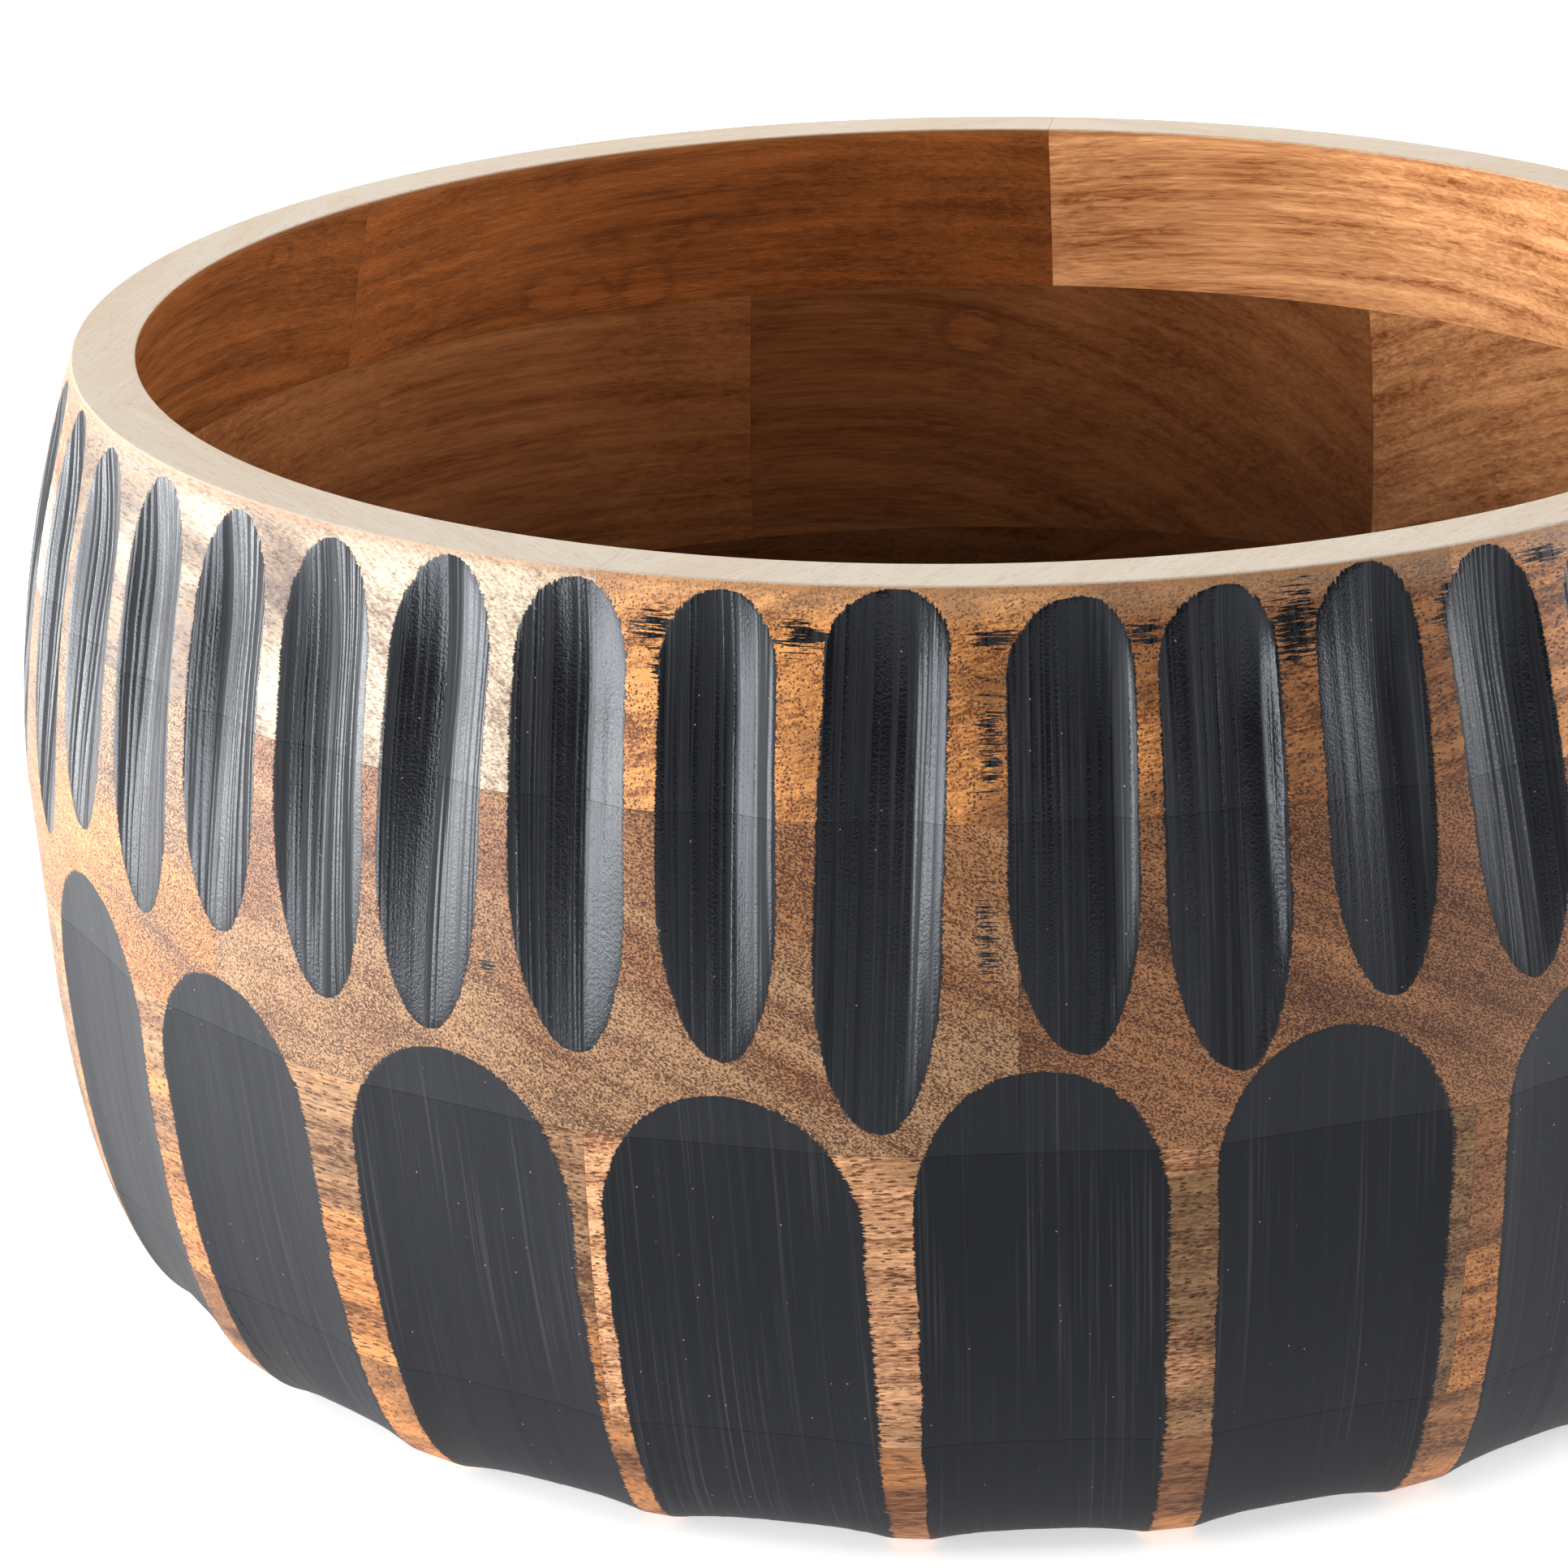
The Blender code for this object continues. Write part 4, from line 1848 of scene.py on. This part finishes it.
@dataclass
class PlankBase(BlockWork):
    """The base: planks side by side, with the heel of the bowl turned on their edges."""

    timbers: tuple[Timber, ...] = ()

    def section(self) -> Section:
        """From the middle of the floor out, over the edge and back under to the middle.

        Returns:
            The section.
        """
        shape = self.shape
        outer, inner = shape.outside(), shape.inside()
        high = float(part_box("base_plank_1")[1][2]) + 0.15 * MM - 0.5 * self.glue_line
        drop = shape.height - high
        made = Section()
        for share in np.linspace(0.0, 1.0, 9)[:-1]:
            made.add(shape.floor_radius * share, shape.floor_thickness, 1.0)
        made.add_inside(inner, float(inner.length[-1]), inner.length_at(drop), 1.2 * MM)
        made.add_outside(outer, outer.length_at(drop), float(outer.length[-1]), self.step)
        for share in np.linspace(1.0, 0.0, 7)[1:]:
            made.add(shape.foot_radius * share, 0.0)
        return made

    def disc(self) -> bpy.types.Mesh:
        """The whole base in one, before it is parted into planks.

        Returns:
            The mesh.
        """
        section = self.section()
        columns = math.ceil(2.0 * math.pi * self.shape.belly_radius / self.step)
        turns = np.linspace(0.0, 2.0 * math.pi, columns, endpoint=False)[:, None]
        count = len(section.radius)
        made = self.swept(section, np.broadcast_to(turns, (columns, count)))
        corner = np.arange(columns * count).reshape(columns, count)
        corner[:, 0] = corner[0, 0]
        corner[:, -1] = corner[0, -1]
        after = np.roll(corner, -1, axis=0)
        sides = np.stack(
            [corner[:, 1:-2], corner[:, 2:-1], after[:, 2:-1], after[:, 1:-2]], axis=-1
        )
        floor = np.stack([corner[:, 0], corner[:, 1], after[:, 1]], axis=-1)
        under = np.stack([corner[:, -2], corner[:, -1], after[:, -2]], axis=-1)
        mesh = self.mesh_of("base", made["points"], [sides.reshape(-1, 4), floor, under])
        for key in ("outward", "down", "wall", "inside"):
            store(mesh, key, made[key])
        return mesh

    def plank(self, number: int, disc: bpy.types.Mesh) -> bpy.types.Object:
        """One plank, parted from the base.

        Args:
            number: its place, from the front.
            disc: the whole base.

        Returns:
            The plank, not yet carved.
        """
        count = len(self.timbers)
        width = 2.0 * self.shape.belly_radius / count
        near = -self.shape.belly_radius + width * (number - 1) + 0.5 * self.glue_line
        far = -self.shape.belly_radius + width * number - 0.5 * self.glue_line
        bm = bmesh.new()
        bm.from_mesh(disc)
        loose = [vert for vert in bm.verts if not vert.link_faces]
        bmesh.ops.delete(bm, geom=loose, context="VERTS")
        for place, keep_far in ((near, True), (far, False)):
            bmesh.ops.bisect_plane(
                bm,
                geom=bm.verts[:] + bm.edges[:] + bm.faces[:],
                dist=1e-6,
                plane_co=(0.0, place, 0.0),
                plane_no=(0.0, 1.0, 0.0),
                clear_inner=keep_far,
                clear_outer=not keep_far,
            )
            rims = [edge for edge in bm.edges if edge.is_boundary]
            bmesh.ops.holes_fill(bm, edges=rims, sides=0)
        bmesh.ops.recalc_face_normals(bm, faces=bm.faces[:])
        name = f"base_plank_{number}"
        mesh = bpy.data.meshes.new(name)
        bm.to_mesh(mesh)
        bm.free()
        self.season(mesh, self.timbers[number - 1], 0.0, hash_of(name))
        piece = bpy.data.objects.new(f"{name}_carved", mesh)
        bpy.context.scene.collection.objects.link(piece)
        return piece

    def build(self) -> list[bpy.types.Object]:
        """All the planks.

        Returns:
            The planks, not yet carved.
        """
        disc = self.disc()
        planks = [self.plank(number, disc) for number in range(1, len(self.timbers) + 1)]
        bpy.data.meshes.remove(disc)
        return planks


def hash_of(name: str) -> int:
    """A number that a name always gives."""
    return sum((place + 1) * ord(letter) for place, letter in enumerate(name))


@dataclass(frozen=True)
class Softbox:
    """One area light.

    Args:
        name: its name.
        azimuth: where it stands, in degrees.
        climb: how high it stands, in degrees above the middle of the bowl.
        size: width and height.
        power: in watts.
        away: its distance.
    """

    name: str
    azimuth: float
    climb: float
    size: tuple[float, float]
    power: float
    away: float = 1.3

    def place(self, aim: Vector) -> Vector:
        """Where it stands, round the point that it faces.

        Args:
            aim: the point that it faces.

        Returns:
            Its place.
        """
        turn, climb = math.radians(self.azimuth), math.radians(self.climb)
        flat = math.cos(climb)
        way = Vector((flat * math.sin(turn), -flat * math.cos(turn), math.sin(climb)))
        return aim + self.away * way


@dataclass(frozen=True)
class Studio:
    """A pale floor, soft light and the camera."""

    softboxes: tuple[Softbox, ...] = (
        Softbox("left_softbox", azimuth=-88.0, climb=12.0, size=(2.10, 0.67), power=32.0),
        Softbox("low_softbox", azimuth=-78.0, climb=-4.0, size=(0.90, 0.07), power=2.2, away=0.6),
        Softbox("top_softbox", azimuth=0.0, climb=62.0, size=(1.00, 0.60), power=6.0),
        Softbox("right_softbox", azimuth=97.0, climb=15.0, size=(1.20, 0.67), power=15.0),
        Softbox("back_softbox", azimuth=180.0, climb=50.0, size=(1.00, 0.60), power=14.0),
    )
    aim: tuple[float, float, float] = (0.0, 0.0, 0.08)
    sky: float = 0.03
    floor_size: float = 9.0
    floor_glow: float = 0.60
    glow_from: tuple[float, float] = (-0.24, -0.13)
    far_glow: float = 0.90
    far_from: tuple[float, float] = (0.90, 1.35)
    camera_place: tuple[float, float, float] = (0.0, -0.8119, 0.3628)
    camera_angles: tuple[float, float, float] = (70.0909, 1.1071, 1.7148)
    lens: float = 121.74

    def build(self) -> None:
        """Builds the studio."""
        self.add_floor()
        for softbox in self.softboxes:
            self.add_light(softbox)
        self.add_sky()
        self.add_camera()

    def add_floor(self) -> None:
        """The floor, a hair below the foot."""
        half = 0.5 * self.floor_size
        mesh = bpy.data.meshes.new("floor")
        corners = [(-half, -half), (half, -half), (half, half), (-half, half)]
        mesh.from_pydata([(x, y, -0.1 * MM) for x, y in corners], [], [(0, 1, 2, 3)])
        floor = bpy.data.objects.new("floor", mesh)
        bpy.context.scene.collection.objects.link(floor)
        material = bpy.data.materials.new("floor_white")
        material.use_nodes = True
        shader = material.node_tree.nodes["Principled BSDF"]
        shader.inputs["Base Color"].default_value = (0.86, 0.86, 0.86, 1.0)
        shader.inputs["Roughness"].default_value = 0.8
        shader.inputs["Emission Color"].default_value = (1.0, 1.0, 1.0, 1.0)
        g = Graph(material.node_tree)
        x, y, _ = g.split(Term(g, g.node("ShaderNodeTexCoord").outputs["Object"]))
        away = g.math("SQRT", x * x + y * y)
        near = self.floor_glow * g.ramp(y, *self.glow_from)
        glow = g.math("MAXIMUM", near, self.far_glow * g.ramp(away, *self.far_from))
        g.feed(shader.inputs["Emission Strength"], glow)
        mesh.materials.append(material)
        floor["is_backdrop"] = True

    def add_light(self, softbox: Softbox) -> None:
        """One softbox, turned to the bowl.

        Args:
            softbox: the light to add.
        """
        data = bpy.data.lights.new(softbox.name, "AREA")
        data.shape = "RECTANGLE"
        data.size, data.size_y = softbox.size
        data.energy = softbox.power
        light = bpy.data.objects.new(softbox.name, data)
        aim = Vector(self.aim)
        light.location = softbox.place(aim)
        light.rotation_euler = (light.location - aim).to_track_quat("Z", "Y").to_euler()
        light.visible_camera = False
        bpy.context.scene.collection.objects.link(light)

    def add_sky(self) -> None:
        """An even light from all round."""
        world = bpy.data.worlds.new("studio")
        world.use_nodes = True
        back = world.node_tree.nodes["Background"]
        back.inputs["Color"].default_value = (1.0, 1.0, 1.0, 1.0)
        back.inputs["Strength"].default_value = self.sky
        bpy.context.scene.world = world

    def add_camera(self) -> None:
        """The camera, where the photograph was taken from."""
        data = bpy.data.cameras.new("camera")
        data.sensor_width = 36.0
        data.lens = self.lens
        camera = bpy.data.objects.new("camera", data)
        camera.location = self.camera_place
        camera.rotation_euler = [math.radians(angle) for angle in self.camera_angles]
        bpy.context.scene.collection.objects.link(camera)
        bpy.context.scene.camera = camera
        bpy.context.scene.view_settings.view_transform = "Standard"


TOP_TIMBERS = (
    Timber(Tone.FAWN, Tone.CREAM, turn=-12.0, climb=2.0, roll=15.0, drift=Drift.ROUND, open=0.25),
    Timber(Tone.HONEY, Tone.RUSSET, turn=50.0, climb=3.0, roll=75.0, drift=Drift.ROUND),
    # Block 3 drifts round to ROSE at its right end: partly its own tone, partly painted light standing
    # in for the fill light on the far right.
    Timber(Tone.AMBER, Tone.ROSE, turn=5.0, climb=-2.0, roll=65.0, drift=Drift.ROUND),
    # Blocks 4 and 5 lie at the back right; their high oil paints in the key light's sheen on the
    # inside, on top of their own tone.
    Timber(Tone.STRAW, Tone.HONEY, turn=-10.0, climb=3.0, roll=70.0, oil=2.6),
    Timber(Tone.AMBER, Tone.STRAW, turn=10.0, climb=-3.0, roll=75.0, oil=3.0),
    Timber(Tone.HONEY, Tone.UMBER, turn=4.0, climb=-2.0, roll=80.0, oil=1.30),
    Timber(Tone.AMBER, Tone.CREAM, turn=-6.0, climb=2.0, roll=70.0, oil=1.10),
)
MIDDLE_TIMBERS = (
    Timber(Tone.CHESTNUT, Tone.TAN, turn=14.0, climb=-28.0, roll=60.0),
    Timber(Tone.UMBER, Tone.CHESTNUT, turn=-16.0, climb=-24.0, roll=60.0),
    Timber(Tone.STRAW, Tone.ROSE, turn=12.0, climb=0.0, roll=75.0),
    Timber(Tone.CHESTNUT, Tone.AMBER, turn=-12.0, climb=-14.0, roll=65.0, oil=2.0),
    Timber(Tone.AMBER, Tone.CHESTNUT, turn=18.0, climb=2.0, roll=40.0, oil=1.1),
    Timber(Tone.AMBER, Tone.UMBER, turn=-8.0, climb=0.0, roll=80.0, oil=1.4),
    Timber(Tone.TAN, Tone.AMBER, turn=10.0, climb=-4.0, roll=60.0, oil=1.2),
)
LOWER_TIMBERS = (
    Timber(Tone.TAN, Tone.AMBER, turn=5.0, climb=2.0, roll=62.0),
    # Block 2 drifts round to OCHRE at its right end: partly its own change of hue, partly painted shade
    # where less light falls on the right.
    Timber(Tone.ROSE, Tone.OCHRE, turn=-5.0, climb=4.0, roll=65.0, drift=Drift.ROUND),
    Timber(Tone.CHESTNUT, Tone.AMBER, turn=14.0, climb=-6.0, roll=75.0),
    Timber(Tone.STRAW, Tone.ROSE, turn=0.0, climb=2.0, roll=70.0),
    Timber(Tone.AMBER, Tone.CHESTNUT, turn=-20.0, climb=-2.0, roll=65.0, oil=0.7),
    Timber(Tone.ROSE, Tone.AMBER, turn=8.0, climb=0.0, roll=80.0, oil=0.7),
    Timber(Tone.TAN, Tone.OCHRE, turn=-4.0, climb=3.0, roll=68.0, oil=0.7),
)
BASE_TIMBERS = (
    Timber(Tone.CHESTNUT, Tone.AMBER, turn=2.0, climb=2.0, roll=65.0, oil=0.9),
    Timber(Tone.UMBER, Tone.CHESTNUT, turn=-2.0, climb=0.0, roll=70.0, oil=0.75),
    Timber(Tone.AMBER, Tone.CHESTNUT, turn=1.0, climb=-1.0, roll=75.0, oil=1.0),
    Timber(Tone.CHESTNUT, Tone.UMBER, turn=-1.0, climb=1.0, roll=60.0, oil=0.8),
    Timber(Tone.AMBER, Tone.STRAW, turn=2.0, climb=0.0, roll=70.0, oil=0.6),
)


def main() -> None:
    """Builds the looks round the frame."""
    logging.basicConfig(level=logging.INFO, format="%(relativeCreated)6.0f ms  %(message)s")
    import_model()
    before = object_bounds()
    height = float(before[1][2] - before[0][2])
    shape = BowlShape(height, 0.5 * float(before[1][0] - before[0][0]))
    wall = shape.outside()
    plan = CutPlan()
    rows = {"Narrow": plan.narrow_row(shape, wall), "Wide": plan.wide_row(shape, wall)}
    laid = {name: (row, row.layout()) for name, row in rows.items()}
    carving = CarvingTree()
    wood = CarvedWood(shape)
    layers: tuple[tuple[BlockRing | PlankBase, Finishes], ...] = (
        (BlockRing(shape, ring=Ring.TOP, first_joint=-69.3, timbers=TOP_TIMBERS), Finishes.TOP),
        (
            BlockRing(shape, ring=Ring.MIDDLE, first_joint=-46.0, timbers=MIDDLE_TIMBERS),
            Finishes.MIDDLE,
        ),
        (
            BlockRing(shape, ring=Ring.LOWER, first_joint=-69.3, timbers=LOWER_TIMBERS),
            Finishes.LOWER,
        ),
        (PlankBase(shape, timbers=BASE_TIMBERS), Finishes.BASE),
    )
    for layer, finish in layers:
        material = wood.build(finish.value)
        for piece in layer.build():
            carving.carve(piece, laid, material)
            layer.finish(piece, finish.value.name)
    for _, layout in laid.values():
        mesh = layout.data
        bpy.data.objects.remove(layout)
        bpy.data.meshes.remove(mesh)
    Studio().build()


if __name__ == "__main__":
    main()
